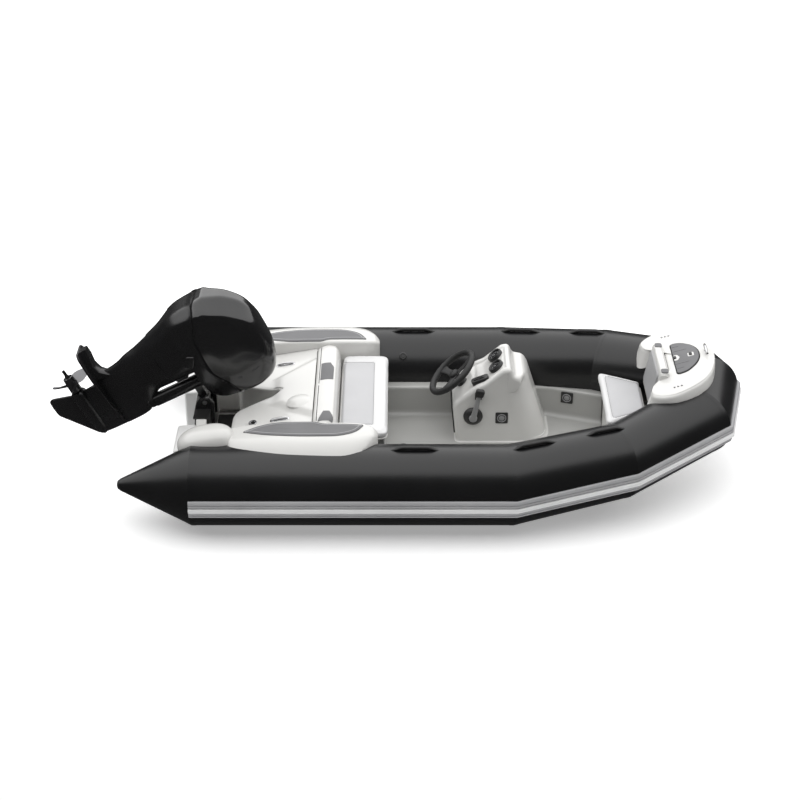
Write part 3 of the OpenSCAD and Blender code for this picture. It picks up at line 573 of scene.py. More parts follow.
# The stern wings are white gelcoat, painted brighter against the cowl's shadow
eased_copy("stern_wings", "stern_wing_mouldings", "root", "gelcoat", brightened_stern_gelcoat, 0.014, 4)
eased_copy("tow_eyes", "towing_eyes", "root", "steel", steel, 0.0015, 2)

# ---------------------------------------------------------------- aft deck
deck_aft, deck_fore, deck_half = -1.320, -0.7185, 0.4495


def deck_z(x):
    return 0.452 + (x + 0.718) * (0.452 - 0.345) / (0.718 - 0.602 + 0.486 - 0.0)


def deck_height(x, y):
    """The deck's slope, its crown, and the raised body between the well and the backrest."""
    base = 0.345 + (0.452 - 0.345) * (x - deck_aft) / (deck_fore - deck_aft)
    half = 0.20 + 0.145 * (x + 0.90) / 0.18
    inside = min(ease((half - abs(y)) / 0.060), ease((x + 0.98) / 0.09))
    return base + 0.020 * inside + 0.006 * (1 - (y / deck_half) ** 2)


well_port = [(-1.320, 0.415), (-1.200, 0.412), (-1.174, 0.385), (-1.171, 0.190), (-1.150, 0.140), (-1.025, 0.064),
             (-0.935, 0.024), (-0.915, 0.0)]
well_line = resampled(rounded([(x, y, 0) for x, y in well_port], [0, 0.02, 0.02, 0.03, 0.03, 0.03, 0.01, 0], 4),
                      61, closed=False)
well_line += [Vector((p.x, -p.y, 0)) for p in reversed(well_line[:-1])]
corner = [(deck_aft, deck_half), (deck_fore, deck_half), (deck_fore, 0.0)]
rim_line = resampled([(x, y, 0) for x, y in corner], 61, closed=False)
rim_line += [Vector((p.x, -p.y, 0)) for p in reversed(rim_line[:-1])]


def deck_rings():
    rings = []
    steps = 40
    lip = 0.016
    rings.append([(w.x, w.y, 0.06) for w in well_line])
    rings.append([(w.x, w.y, deck_height(w.x, w.y) - lip) for w in well_line])
    for k in range(1, 5):
        a = math.pi / 2 * k / 4
        ring = []
        for w, o in zip(well_line, rim_line):
            out = (o - w).normalized() * lip * (1 - math.cos(a))
            ring.append((w.x + out.x, w.y + out.y, deck_height(w.x, w.y) - lip * (1 - math.sin(a))))
        rings.append(ring)
    for k in range(1, steps + 1):
        t = k / steps
        ring = []
        for w, o in zip(well_line, rim_line):
            start = w + (o - w).normalized() * lip
            p = start.lerp(o, t)
            ring.append((p.x, p.y, deck_height(p.x, p.y)))
        rings.append(ring)
    rings.append([(o.x, o.y, 0.031) for o in rim_line])
    return rings


fit(piece("aft_deck_moulding", [skin(deck_rings(), closed=False, caps=(False, False))], gelcoat, crease=50),
    "root", "gelcoat", "aft_deck")

# A dished access plate. The two dark seams ahead of it are painted shade, drawn with the backrest
dome = turned([(0.0, 0.013), (0.025, 0.0122), (0.045, 0.0085), (0.062, 0.0025), (0.072, -0.003)], 56)
slope = math.atan((0.452 - 0.345) / (deck_fore - deck_aft))


def on_deck(x, y, lift=0.0):
    return Matrix.Translation((x, y, deck_height(x, y) + lift)) @ Matrix.Rotation(-slope, 4, "Y")


fit(piece("deck_access_dome", [moved(dome, on_deck(-0.802, -0.165))], gelcoat), "root", "gelcoat")


def cleat(x, y):
    """A pop-up cleat: its plate, and the bar folded flush in it."""
    base = moved(plate(rounded([(-0.055, -0.015), (0.055, -0.015), (0.055, 0.015), (-0.055, 0.015)], 0.014, 6),
                       -0.002, 0.003), on_deck(x, y))
    bar = moved(swept([(-0.046, 0, 0.006), (-0.03, 0, 0.010), (0, 0, 0.011), (0.03, 0, 0.010), (0.046, 0, 0.006)],
                      lambda t: circle(0.006, 12)), on_deck(x, y))
    return [base, bar]


cleats = cleat(-0.900, -0.310) + cleat(-0.900, 0.310)
fit(piece("pop_up_cleats", cleats, steel), "root", "steel", "stern_cleats")
filler = turned([(0.0, 0.006), (0.013, 0.006), (0.014, 0.003), (0.017, 0.003), (0.018, 0.008), (0.022, 0.008),
                 (0.0245, 0.004), (0.0245, -0.003)], 48)
fit(piece("fuel_filler_cap", [moved(filler, on_deck(-1.050, -0.305))], steel), "root", "steel", "fuel_filler")

# ---------------------------------------------------------------- mouldings on the tubes beside the seat
moulding_x = [-1.180, -1.155, -1.05, -0.82, -0.557, -0.45, -0.385, -0.355]
moulding_outer = through(moulding_x, [0.575, 0.63, 0.675, 0.715, 0.725, 0.69, 0.62, 0.560])
moulding_inner = through(moulding_x, [0.500, 0.470, 0.454, 0.4525, 0.4525, 0.456, 0.475, 0.500])
moulding_top = through(moulding_x, [0.006, 0.018, 0.034, 0.046, 0.048, 0.045, 0.034, 0.012])


def tube_skin_z(x, y):
    """The height of the tube's upper surface at a place."""
    return tube_z(x) + math.sqrt(max(radius(x) ** 2 - (y - tube_y(x)) ** 2, 0.0))


def moulding_ring(x):
    y0, y1 = moulding_inner(x), moulding_outer(x)
    top = 0.450 + moulding_top(x)
    r = min(0.018, moulding_top(x) * 0.7)
    points = [(y0 + 0.004, 0.25 if y0 < 0.46 else 0.36), (y0, top - r)]
    for a in spread(0, 90, 5)[1:]:
        t = math.radians(a)
        points.append((y0 + r * (1 - math.cos(t)), top - r * (1 - math.sin(t))))
    wide = y1 - y0
    foot = tube_skin_z(x, y1) - 0.004
    for t in spread(0, 1, 14)[1:]:
        y = y0 + r + (wide - r) * t
        fall = ease((t - 0.5) / 0.62) * 1.0
        z = top + (foot - top) * (0.12 * t * t + 0.88 * max(0.0, (t - 0.55) / 0.45) ** 2.2)
        points.append((y, z))
    points.append((y1 - 0.01, foot - 0.03))
    return [(x, p[0], p[1]) for p in points]


ring_xs = spread(-1.180, -1.10, 8) + spread(-1.10, -0.45, 26)[1:] + spread(-0.45, -0.355, 10)[1:]
quarter = skin([moulding_ring(x) for x in ring_xs])
fit(piece("quarter_coamings", both(quarter), gelcoat, crease=50), "root", "gelcoat", "quarter_mouldings")

# Leaf-shaped pads on the mouldings, each with a raised inner line
leaf = rounded([(-1.088, 0.540), (-1.000, 0.486), (-0.900, 0.460), (-0.690, 0.460), (-0.655, 0.480), (-0.520, 0.482),
                (-0.430, 0.486), (-0.470, 0.560), (-0.560, 0.602), (-0.790, 0.604), (-0.960, 0.584)],
               [0.006, 0.08, 0.08, 0.02, 0.02, 0.02, 0.008, 0.05, 0.05, 0.1, 0.1], 6)
leaf = [Vector((p.x, p.y)) for p in resampled([(p[0], p[1], 0) for p in leaf], 150)]


def coaming_z(x, y):
    y0, y1 = moulding_inner(x), moulding_outer(x)
    top = 0.450 + moulding_top(x)
    r = min(0.018, moulding_top(x) * 0.7)
    t = max(0.0, (y - y0 - r) / (y1 - y0 - r))
    foot = tube_skin_z(x, y1) - 0.004
    return top + (foot - top) * (0.12 * t * t + 0.88 * max(0.0, (t - 0.55) / 0.45) ** 2.2)


def leaf_pad(grow_in, low, high, edge):
    outline = inset(leaf, grow_in)
    rings = []
    for step, lift in ((0.0, low), (0.0, high - edge), (edge * 0.35, high - edge * 0.3), (edge, high)):
        rings.append([(p.x, p.y, coaming_z(p.x, p.y) + lift) for p in inset(outline, step)])
    last = inset(outline, edge)
    middle = [sum(p.x for p in last) / len(last), sum(p.y for p in last) / len(last)]
    for s in (0.75, 0.5, 0.25, 0.02):
        ring = []
        for p in last:
            x = p.x * (0.3 + 0.7 * s) + (middle[0] + (p.x - middle[0]) * 0.97) * (0.7 - 0.7 * s) if False else p.x
            y = middle[1] + (p.y - middle[1]) * s
            x = middle[0] + (p.x - middle[0]) * (1 - (1 - s) * 0.08)
            ring.append((x, y, coaming_z(x, y) + high))
        rings.append(ring)
    return skin(rings, caps=(True, True))


fit(piece("quarter_pad_faces", both(leaf_pad(0.0, -0.006, 0.005, 0.002)), pad_grey, crease=50),
    "root", "deck_pad", "quarter_pads")


def leaf_line(outline, half, lift):
    """A thin raised line that follows an outline on the moulding."""
    rings = []
    for s, h in ((-half, -0.001), (-half, lift), (half, lift), (half, -0.001)):
        rings.append([(p.x, p.y, coaming_z(p.x, p.y) + 0.005 + h) for p in inset(outline, s)])
    return skin(rings + rings[:1], caps=(False, False))


inner_leaf = inset(leaf, 0.016)
fit(piece("quarter_pad_lines", both(leaf_line(inner_leaf, 0.0022, 0.0012)), pad_line, crease=50), "root", "deck_pad")

# Rounded steps on the tubes at the stern
lobe_x0, lobe_x1 = -1.445, -1.120


def lobe_ring(t):
    x = lobe_x0 + (lobe_x1 - lobe_x0) * t
    swell = math.sqrt(max(1 - abs(2 * t - 1) ** 2.6, 0.0)) * (0.93 + 0.07 * t)
    middle, half = 0.530, 0.108 * swell + 0.001
    top = 0.405 + 0.125 * swell * (0.62 + 0.42 * t)
    out = []
    for k in range(25):
        a = math.pi * k / 24
        y = middle - half * math.copysign(abs(math.cos(a)) ** 0.85, math.cos(a))
        z = 0.395 + (top - 0.395) * math.sin(a) ** 0.8
        out.append((x, y, z))
    out += [(x, out[-1][1] - 0.01, 0.34), (x, out[0][1] + 0.004, 0.30)]
    return out


lobe = skin([lobe_ring(0.5 - 0.5 * math.cos(math.pi * t)) for t in spread(0.0, 1, 28)])
fit(piece("stern_step_lobes", both(lobe), gelcoat, crease=60), "root", "gelcoat", "stern_steps")

# ---------------------------------------------------------------- seats
# The locker is white gelcoat, painted darker as shade
eased_copy("aft_seat_base", "aft_seat_locker", "root", "gelcoat", shaded_gelcoat, 0.010)
eased_copy("aft_seat_lid", "aft_seat_lid_panel", "aft_seat", "gelcoat", gelcoat, 0.003)
eased_copy("bow_seat_base", "bow_seat_locker", "root", "gelcoat", gelcoat, 0.008)
eased_copy("bow_seat_lid", "bow_seat_lid_panel", "bow_seat", "gelcoat", gelcoat, 0.003)


def cushion(name, outline, z0, z1, swell, within, material, panel_material):
    """An upholstered cushion: a slab swelled by cloth pressure, with a sewn channel round its inner panel.

    within(x, y) is how far a point lies inside the inner panel's seam."""
    outline = resampled([(p[0], p[1], 0) for p in outline], 160)
    outline = [Vector((p.x, p.y)) for p in outline]
    shrunk = inset(outline, 0.005)
    edge = 0.010
    rings = []
    for a in spread(-90, 90, 8):
        r = math.radians(a)
        z = (z0 + edge if a < 0 else z1 - 0.004 - edge) + edge * math.sin(r)
        rings.append([(p.x, p.y, z) for p in inset(shrunk, edge * (1 - math.cos(r)))])
    made = piece(name + "_form", [skin(rings)], material, crease=60)
    for mod_name, kind in (("Voxels", "REMESH"),):
        mod = made.modifiers.new(mod_name, kind)
        mod.mode, mod.voxel_size = "VOXEL", 0.0055
    depths = bpy.context.evaluated_depsgraph_get()
    start = bpy.data.meshes.new_from_object(made.evaluated_get(depths))
    made.modifiers.clear()
    made.data = start
    rest = [v.co.copy() for v in start.vertices]
    mod = made.modifiers.new("Swell", "CLOTH")
    cloth = mod.settings
    cloth.quality = 4
    cloth.use_pressure = True
    cloth.uniform_pressure_force = 4.0
    cloth.effector_weights.gravity = 0.0
    mod.point_cache.frame_start, mod.point_cache.frame_end = 1, 12
    for f in range(1, 13):
        bpy.context.scene.frame_set(f)
    depths = bpy.context.evaluated_depsgraph_get()
    swelled = [v.co.copy() for v in made.evaluated_get(depths).data.vertices]
    made.modifiers.clear()
    bpy.context.scene.frame_set(1)
    for v, a, b in zip(start.vertices, rest, swelled):
        push = b - a
        if push.length > swell:
            push *= swell / push.length
        p = a + push
        p.z = max(p.z, z0)
        if a.z > (z0 + z1) / 2:
            depth = within(a.x, a.y)
            p.z = min(p.z, z1 + 0.006) + 0.003 * ease(depth / 0.05)
            p.z -= 0.0050 * math.exp(-(depth / 0.0045) ** 2)
        v.co = p
    bpy.data.objects.remove(made)
    obj = shown(name, start, material, 80, subdivide=0)
    obj.data.materials.append(panel_material)
    for f in obj.data.polygons:
        if f.center.z > (z0 + z1) / 2 and within(f.center.x, f.center.y) > 0 and f.normal.z > 0.3:
            f.material_index = 1
    mod = obj.modifiers.new("Smooth", "SUBSURF")
    mod.levels = mod.render_levels = 1
    return obj


aft_cushion_plan = rounded([(-0.572, -0.445), (-0.296, -0.445), (-0.296, 0.445), (-0.572, 0.445)], 0.055, 8)


def in_aft_panel(x, y):
    return min(-0.384 - x, 0.350 - abs(y))


def in_bow_panel(x, y):
    return min(x - 0.952, 0.250 - abs(y) - (x - 0.934) * 0.49)


fit(cushion("aft_seat_pad", aft_cushion_plan, 0.3805, 0.418, 0.006, in_aft_panel, vinyl, vinyl_grey),
    "aft_seat", "vinyl", "aft_seat_cushion")
bow_cushion_plan = rounded([(0.908, -0.300), (1.150, -0.178), (1.150, 0.178), (0.908, 0.300)],
                           [0.060, 0.012, 0.012, 0.060], 8)
fit(cushion("bow_seat_pad", bow_cushion_plan, 0.3545, 0.392, 0.005, in_bow_panel, vinyl, vinyl_grey),
    "bow_seat", "vinyl", "bow_seat_cushion")


def piping(points, z):
    return swept([(x, y, z) for x, y in points], lambda t: circle(0.0013, 8))


aft_piping = piping([(-0.560, 0.350), (-0.392, 0.350), (-0.384, 0.342), (-0.384, -0.342), (-0.392, -0.350), (-0.560, -0.350)],
                    0.4165)
fit(piece("aft_seat_piping", [aft_piping], seam_grey), "aft_seat", "vinyl")
bow_piping = piping([(1.140, 0.149), (0.972, 0.231), (0.958, 0.228), (0.952, 0.214), (0.952, -0.214), (0.958, -0.228),
                     (0.972, -0.231), (1.140, -0.149)], 0.3905)
fit(piece("bow_seat_piping", [bow_piping], seam_grey), "bow_seat", "vinyl")


def backrest_outline(y):
    """The side outline of the aft backrest, which thins and drops towards its two ends."""
    end = math.sqrt(max(0.0, 1 - max(0.0, (abs(y) - 0.375) / 0.0725) ** 2))
    drop = 0.030 * (1 - end)
    pull = 0.060 * (1 - end)
    points = [(-0.5785, 0.031), (-0.5785, 0.400), (-0.588 - pull, 0.468 - drop), (-0.602 - pull, 0.494 - drop),
              (-0.660, 0.497 - drop), (-0.712 + pull * 0.3, 0.478 - drop), (-0.717, 0.450 - drop * 0.5), (-0.717, 0.031)]
    return rounded(points, [0.0, 0.03, 0.02, 0.016, 0.03, 0.012, 0.01, 0.0], 5)


rest_ys = spread(-0.4472, -0.41, 8) + spread(-0.41, 0.41, 24)[1:-1] + spread(0.41, 0.4472, 8)
fit(piece("aft_backrest_bolster", [skin([[(p.x, y, p.y) for p in backrest_outline(y)] for y in rest_ys])], gelcoat,
          crease=60), "root", "gelcoat", "aft_backrest")


def on_backrest(share, y, lift):
    """A point on the bolster's skin: share runs from its front edge over the top to its aft edge."""
    line = resampled([(p.x, p.y, 0) for p in backrest_outline(y) if p.y > 0.44], 41, closed=False)
    f = share * 40
    i = min(39, int(f))
    at = line[i].lerp(line[i + 1], f - i)
    way = (line[min(40, i + 2)] - line[max(0, i - 1)]).normalized()
    out = Vector((way.y, -way.x)) if way.x < 0 and -way.x * 1.0 > 0 and way.x * 0 - way.x > 0 else Vector((way.y, -way.x))
    if out.x * (at.x + 0.648) + out.y * (at.y - 0.43) < 0:
        out = -out
    return Vector((at.x + out.x * lift, y, at.y + out.y * lift))


def bolster_patch(y0, y1, span):
    """A thin dark grey patch on the bolster; span(t) gives its first and last share at t along it."""
    rings = []
    for t in spread(0, 1, 16):
        a, b = span(t)
        rings.append([on_backrest(a + (b - a) * u, y0 + (y1 - y0) * t, 0.0016) for u in spread(0, 1, 12)])
    return skin(rings, closed=False, caps=(False, False))


# Two dark grey patches: one on the top's far half, and a triangle at the near end where the bolster meets the quarter
# moulding
patches = [bolster_patch(0.015, 0.205, lambda t: (0.28 + 0.10 * ease((t - 0.7) / 0.3), 0.68)),
           bolster_patch(-0.425, -0.335, lambda t: (0.14 + 0.20 * t, 0.68 - 0.16 * t))]
fit(piece("bolster_patches", patches, pad_grey, crease=80), "root", "deck_pad")


def bolster_seam(share, y0, y1):
    return swept([on_backrest(share, y, 0.0002) for y in spread(y0, y1, 30)], lambda t: circle(0.0019, 8))


# Dark lines in the bolster's seams and along its joint with the deck: painted shade
deck_joint = swept([(-0.7172, y, 0.4545) for y in spread(-0.415, 0.415, 12)], lambda t: circle(0.0024, 8))
fit(piece("bolster_seams", [bolster_seam(0.72, -0.415, -0.04), bolster_seam(0.72, -0.015, 0.415), deck_joint], painted_gap_shade),
    "root", "black_plastic")

# ---------------------------------------------------------------- bow
bow_back, bow_slope = 1.1603, math.radians(16.7)


def bow_z(x):
    return 0.6716 + (x - 1.473) * math.tan(bow_slope)


bow_port = [(1.2645, 0.0), (1.2645, 0.1815), (1.205, 0.1835), (1.166, 0.205), (1.147, 0.255), (1.146, 0.305),
            (1.190, 0.350), (1.262, 0.370), (1.355, 0.340), (1.445, 0.283), (1.496, 0.195), (1.522, 0.090),
            (1.529, 0.0)]
bow_corners = [0.0, 0.004, 0.03] + [0.05] * 9 + [0.06]
bow_plan = rounded(bow_port[1:] + [(x, -y) for x, y in reversed(bow_port[1:-1])],
                   bow_corners[1:] + bow_corners[-2:0:-1], 4)
bow_plan = [Vector((p.x, p.y)) for p in resampled([(p[0], p[1], 0) for p in bow_plan], 180)]
bow_centre = Vector((1.36, 0.0))


def bow_deck_rings():
    rings = []
    for s in (0.02, 0.3, 0.5, 0.65, 0.8, 0.9, 0.96):
        rings.append([bow_centre.lerp(p, s) for p in bow_plan])
    rings = [[(p.x, p.y, bow_z(p.x) + 0.012 * (1 - s ** 2)) for p in ring]
             for ring, s in zip(rings, (0.02, 0.3, 0.5, 0.65, 0.8, 0.9, 0.96))]
    lip = 0.020
    for a in spread(0, 90, 6):
        r = math.radians(a)
        rings.append([(p.x, p.y, bow_z(p.x) - lip * (1 - math.cos(r)))
                      for p in inset(bow_plan, lip * (1 - math.sin(r)))])
    for t in (0.25, 0.5, 0.75, 1.0):
        rings.append([(p.x - 0.018 * t * ease((1.25 - p.x) / 0.09), p.y,
                       bow_z(p.x) - lip - (0.072 + 0.03 * ease((1.25 - p.x) / 0.09)) * t)
                      for p in inset(bow_plan, -0.005 * t)])
    rings.append([(p.x, p.y, bow_z(p.x) - lip - 0.072) for p in inset(bow_plan, 0.010)])
    rings.append([(p.x, p.y, bow_z(p.x) - lip - 0.005) for p in inset(bow_plan, 0.012)])
    rings.append([(p.x, p.y, bow_z(p.x) - lip) for p in [bow_centre.lerp(q, 0.02) for q in bow_plan]])
    return rings


bow_panel = [(1.166, 0.391), (1.205, 0.626), (1.214, 0.640), (1.246, 0.641), (1.262, 0.626), (1.262, 0.391)]


def bow_panel_ring(y):
    end = ease((0.1775 - abs(y)) / 0.012)
    return [(1.214 + (p.x - 1.214) * (0.80 + 0.20 * end), y, p.y - 0.012 * (1 - end) * (1 if p.y > 0.5 else 0))
            for p in rounded(bow_panel, [0.004, 0.02, 0.012, 0.012, 0.012, 0.004], 5)]


panel_ys = spread(-0.1775, -0.16, 6) + spread(-0.16, 0.16, 10)[1:-1] + spread(0.16, 0.1775, 6)
fit(piece("bow_deck_moulding", [skin(bow_deck_rings(), caps=(True, True)), skin([bow_panel_ring(y) for y in panel_ys])],
          gelcoat, crease=50), "root", "gelcoat", "bow_moulding")

# A grey pad on the aft face of the bow backrest
face_pad = rounded([(-0.150, 0.420), (0.150, 0.420), (0.150, 0.615), (-0.150, 0.615)], 0.03, 6)


def on_bow_panel(y, z, lift):
    share = (z - 0.391) / (0.628 - 0.391)
    return (1.166 + 0.040 * share - lift, y, z)


pad_rings = []
for step, lift in ((0.0, -0.002), (0.0, 0.006), (0.003, 0.009), (0.008, 0.011)):
    pad_rings.append([on_bow_panel(p.x, p.y, lift) for p in inset(face_pad, step)])
fit(piece("bow_backrest_pad", [skin(pad_rings)], panel_vinyl, crease=60), "root", "vinyl")

hatch_at = Matrix.Translation((1.300, 0, bow_z(1.300) + 0.0105)) @ Matrix.Rotation(-bow_slope, 4, "Y")
hatch_plan = rounded([(0.005, -0.168), (0.060, -0.160), (0.118, -0.105), (0.146, -0.040), (0.146, 0.040),
                      (0.118, 0.105), (0.060, 0.160), (0.005, 0.168)], [0.02, .05, .04, .04, .04, .04, .05, 0.02], 6)
fit(piece("bow_hatch_lid", [moved(plate(hatch_plan, 0.002, 0.0065, 0.003), hatch_at)], pad_grey, crease=50),
    "bow_hatch", "deck_pad", "bow_hatch")
# A dark ring round the hatch lid: painted shade in the gap round it
hatch_gap_plan = inset([Vector((p[0], p[1])) for p in hatch_plan], -0.006)
fit(piece("bow_hatch_gap_shade", [moved(plate(hatch_gap_plan, -0.006, 0.0016, 0.001), hatch_at)], painted_gap_shade, crease=50),
    "root", "black_plastic")
# Dark strips in the lid's grooves: painted shade
planks = [moved(plate([(0.009, y - 0.0008), (0.138 - abs(y) * 0.75, y - 0.0008), (0.138 - abs(y) * 0.75, y + 0.0008),
                       (0.009, y + 0.0008)], 0.005, 0.0070, 0.0002), hatch_at) for y in (-0.12, -0.07, 0.07, 0.12)]
fit(piece("bow_hatch_grooves", planks, painted_gap_shade), "bow_hatch", "black_plastic")
thumb_hole = plate(rounded([(0.005, -0.030), (0.026, -0.030), (0.040, 0.0), (0.026, 0.030), (0.005, 0.030)], 0.010, 5),
                   0.004, 0.0082, 0.002)
fit(piece("bow_hatch_notch", [moved(thumb_hole, hatch_at)], gelcoat), "bow_hatch", "gelcoat")
pull = [moved(plate(rounded([(-0.008, -0.013), (0.010, -0.013), (0.010, 0.013), (-0.008, 0.013)], 0.007, 5), 0.007, 0.014, 0.003),
              hatch_at @ Matrix.Translation((x, 0, 0))) for x in (0.010, 0.100)]
fit(piece("bow_hatch_latches", pull, black), "bow_hatch", "black_plastic")
surround = moved(plate(rounded([(-0.016, -0.020), (0.020, -0.020), (0.020, 0.020), (-0.016, 0.020)], 0.008, 5), 0.005, 0.0082, 0.002),
                 hatch_at @ Matrix.Translation((0.100, 0, 0)))
fit(piece("bow_hatch_eye", [surround], gelcoat), "bow_hatch", "gelcoat")
end_pads = [plate(rounded([(1.214, s * 0.148 - 0.022), (1.254, s * 0.148 - 0.022), (1.254, s * 0.148 + 0.022),
                           (1.214, s * 0.148 + 0.022)], 0.014, 5), 0.638, 0.6445, 0.002) for s in (-1, 1)]
fit(piece("bow_backrest_end_pads", end_pads, pad_grey, crease=50), "root", "deck_pad")
fairleads = []
for s in (-1, 1):
    at = Matrix.Translation((1.292, s * 0.285, bow_z(1.292) + 0.003)) @ Matrix.Rotation(-bow_slope, 4, "Y")
    for x in (-0.020, 0.0, 0.020):
        stud = turned([(0.0, 0.007), (0.004, 0.006), (0.0065, 0.002), (0.007, -0.004)], 20)
        fairleads.append(moved(stud, at @ Matrix.Translation((x, 0, 0))))
fit(piece("bow_fairlead_studs", fairleads, steel), "root", "steel")

cleat_at = hatch_at @ Matrix.Translation((0.190, 0, -0.010))
cleat_bar = swept([(0, y, 0.036 - 0.006 * (abs(y) / 0.045) ** 2) for y in spread(-0.046, 0.046, 20)],
                  lambda t: circle(0.0085 - 0.003 * abs(2 * t - 1) ** 3, 16), up=(1, 0, 0))
post = turned([(0.0, 0.034), (0.0075, 0.034), (0.0075, 0.010), (0.010, 0.004), (0.016, 0.002), (0.016, -0.006)], 28)
fit(piece("bow_cleat_horns", [moved(cleat_bar, cleat_at)]
          + [moved(post, cleat_at @ Matrix.Translation((0, y, 0))) for y in (-0.018, 0.018)], steel, crease=45),
    "root", "steel", "bow_cleat")

# ---------------------------------------------------------------- console
console_x, console_near, console_far, helm_y = 0.090, 0.0705, 0.3862, 0.242
console_side = [(0.0, 0.0455), (-0.024, 0.290), (0.110, 0.409), (0.160, 0.430), (0.262, 0.521), (0.305, 0.528),
                (0.330, 0.474), (0.388, 0.463), (0.415, 0.425), (0.535, 0.0455)]
corner_r = [0.0, 0.030, 0.030, 0.020, 0.016, 0.022, 0.016, 0.02, 0.05, 0.0]
console_line = resampled([(p[0] + console_x, p[1], 0) for p in rounded(console_side, corner_r, 6)], 260)
console_line = [Vector((p.x, p.y)) for p in console_line]


def console_ring(y):
    """One slice of the console: its near side is well rounded, most of all at the front."""
    s = y - console_near
    n = len(console_line)
    amounts = []
    for i, p in enumerate(console_line):
        way = (console_line[(i + 1) % n] - console_line[i - 1]).normalized()
        out = Vector((-way.y, way.x))
        ahead = ease((p.x - console_x - 0.34) / 0.08) * ease((0.50 - p.y) / 0.05)
        r = 0.026 + 0.110 * ahead
        amount = r * (1 - math.sqrt(max(0.0, 1 - (1 - min(s / r, 1.0)) ** 2)))
        e = console_far - y
        amount += 0.012 * (1 - math.sqrt(max(0.0, 1 - (1 - min(e / 0.012, 1.0)) ** 2)))
        x = p.x - console_x
        dash = ease((x - 0.085) / 0.02) * ease((0.285 - x) / 0.015) * (1 if p.y > 0.38 else 0)
        mid = (console_near + console_far) / 2
        amount += 0.010 * dash * ease((0.128 - abs(y - mid)) / 0.016)
        if p.y < 0.0465:
            amount = 0.0
        amounts.append(amount)
    ring = inset(console_line, amounts)
    return [(p.x, y, max(p.y, 0.0455)) for p in ring]


slices = [console_near + 0.0262 * (1 - math.cos(math.radians(a))) for a in spread(0, 90, 9)]
slices += spread(0.102, 0.136, 7) + spread(0.146, 0.330, 12) + spread(0.336, 0.370, 7)
slices += [console_far - 0.012 * (1 - math.sin(math.radians(a))) for a in spread(0, 90, 6)]
fit(piece("console_moulding", [skin([console_ring(y) for y in slices])], gelcoat, crease=55), "root", "gelcoat", "console")

foot_plan = inset([Vector((p[0], p[1])) for p in rounded(
    [(console_x + 0.003, console_near), (console_x + 0.535, console_near), (console_x + 0.535, console_far - 0.02),
     (console_x + 0.003, console_far - 0.02)], [0.03, 0.135, 0.02, 0.02], 10)], -0.012)
cove = []
for a in spread(0, 90, 6):
    r = math.radians(a)
    cove.append([(p.x, p.y, 0.0445 + 0.018 * (1 - math.cos(r)) + 0.0008) for p in inset(foot_plan, 0.018 * math.sin(r))])
fit(piece("console_foot_cove", [skin(cove)], gelcoat, crease=60), "root", "gelcoat")


def on_console(i, t, y, lift=0.0):
    """A place on face i of the console's side outline, its Z outwards."""
    a, b = Vector(console_side[i]), Vector(console_side[i + 1])
    way = b - a
    at = a + way * t
    turn = Matrix.Rotation(-math.atan2(way.y, way.x), 4, "Y")
    return Matrix.Translation((console_x + at.x, y, at.y)) @ turn @ Matrix.Translation((0, 0, lift))


bezel = turned([(0.031, 0.004), (0.034, 0.014), (0.038, 0.017), (0.043, 0.016), (0.046, 0.010), (0.046, -0.012)], 64)
dial = turned([(0.0, 0.007), (0.020, 0.0068), (0.034, 0.006)], 48)
ticks = []
for k in range(21):
    a = math.radians(-135 + 270 * k / 20)
    long = 0.006 if k % 5 == 0 else 0.0035
    mark = plate([(-0.0004, 0), (0.0004, 0), (0.0004, long), (-0.0004, long)], 0, 0.0006, 0.0001)
    ticks.append(moved(mark, Matrix.Rotation(a, 4, "Z") @ Matrix.Translation((0, 0.022, 0.0066))))
needle = plate([(-0.0009, -0.004), (0.0009, -0.004), (0.0003, 0.020), (-0.0003, 0.020)], 0.0, 0.0009, 0.0001)
gauge_spots = [on_console(3, 0.64, helm_y + s * 0.064, -0.004) for s in (-1, 1)]
fit(piece("gauge_bezels", [moved(bezel, m) for m in gauge_spots], black, crease=50), "root", "black_plastic", "gauges")
fit(piece("gauge_faces", [moved(dial, m) for m in gauge_spots], glass), "root", "black_plastic")
marks = [moved(t, m) for m in gauge_spots for t in ticks]
marks += [moved(needle, m @ Matrix.Translation((0, 0, 0.0072)) @ Matrix.Rotation(0.9, 4, "Z")) for m in gauge_spots]
fit(piece("gauge_marks", marks, strake_white, crease=40), "root", "grey_plastic")

panel_at = on_console(2, 0.55, 0.128, 0.012)
switch_plate = moved(plate(rounded([(-0.052, -0.026), (0.052, -0.026), (0.052, 0.026), (-0.052, 0.026)], 0.022, 6), -0.024, 0.006,
                           0.003), panel_at)
switches = [moved(plate(rounded([(-0.012, -0.009), (0.012, -0.009), (0.012, 0.009), (-0.012, 0.009)], 0.004), 0.004, 0.011),
                  panel_at @ Matrix.Translation((x, 0, 0))) for x in (-0.022, 0.016)]
strip_at = Matrix.Translation((0.215, console_near - 0.002, 0.352)) @ Matrix.Rotation(math.radians(90), 4, "X")
key_strip = moved(plate(rounded([(-0.020, -0.024), (0.020, -0.024), (0.020, 0.024), (-0.020, 0.024)], 0.006), -0.003, 0.006),
                  strip_at)
fit(piece("dash_switch_panels", [switch_plate, key_strip] + switches, black, crease=50), "root", "black_plastic",
    "dash_panels")

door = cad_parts["console_door"]
eased_copy("console_door", "console_locker_door", "console_door", "black_plastic", black, 0.004)

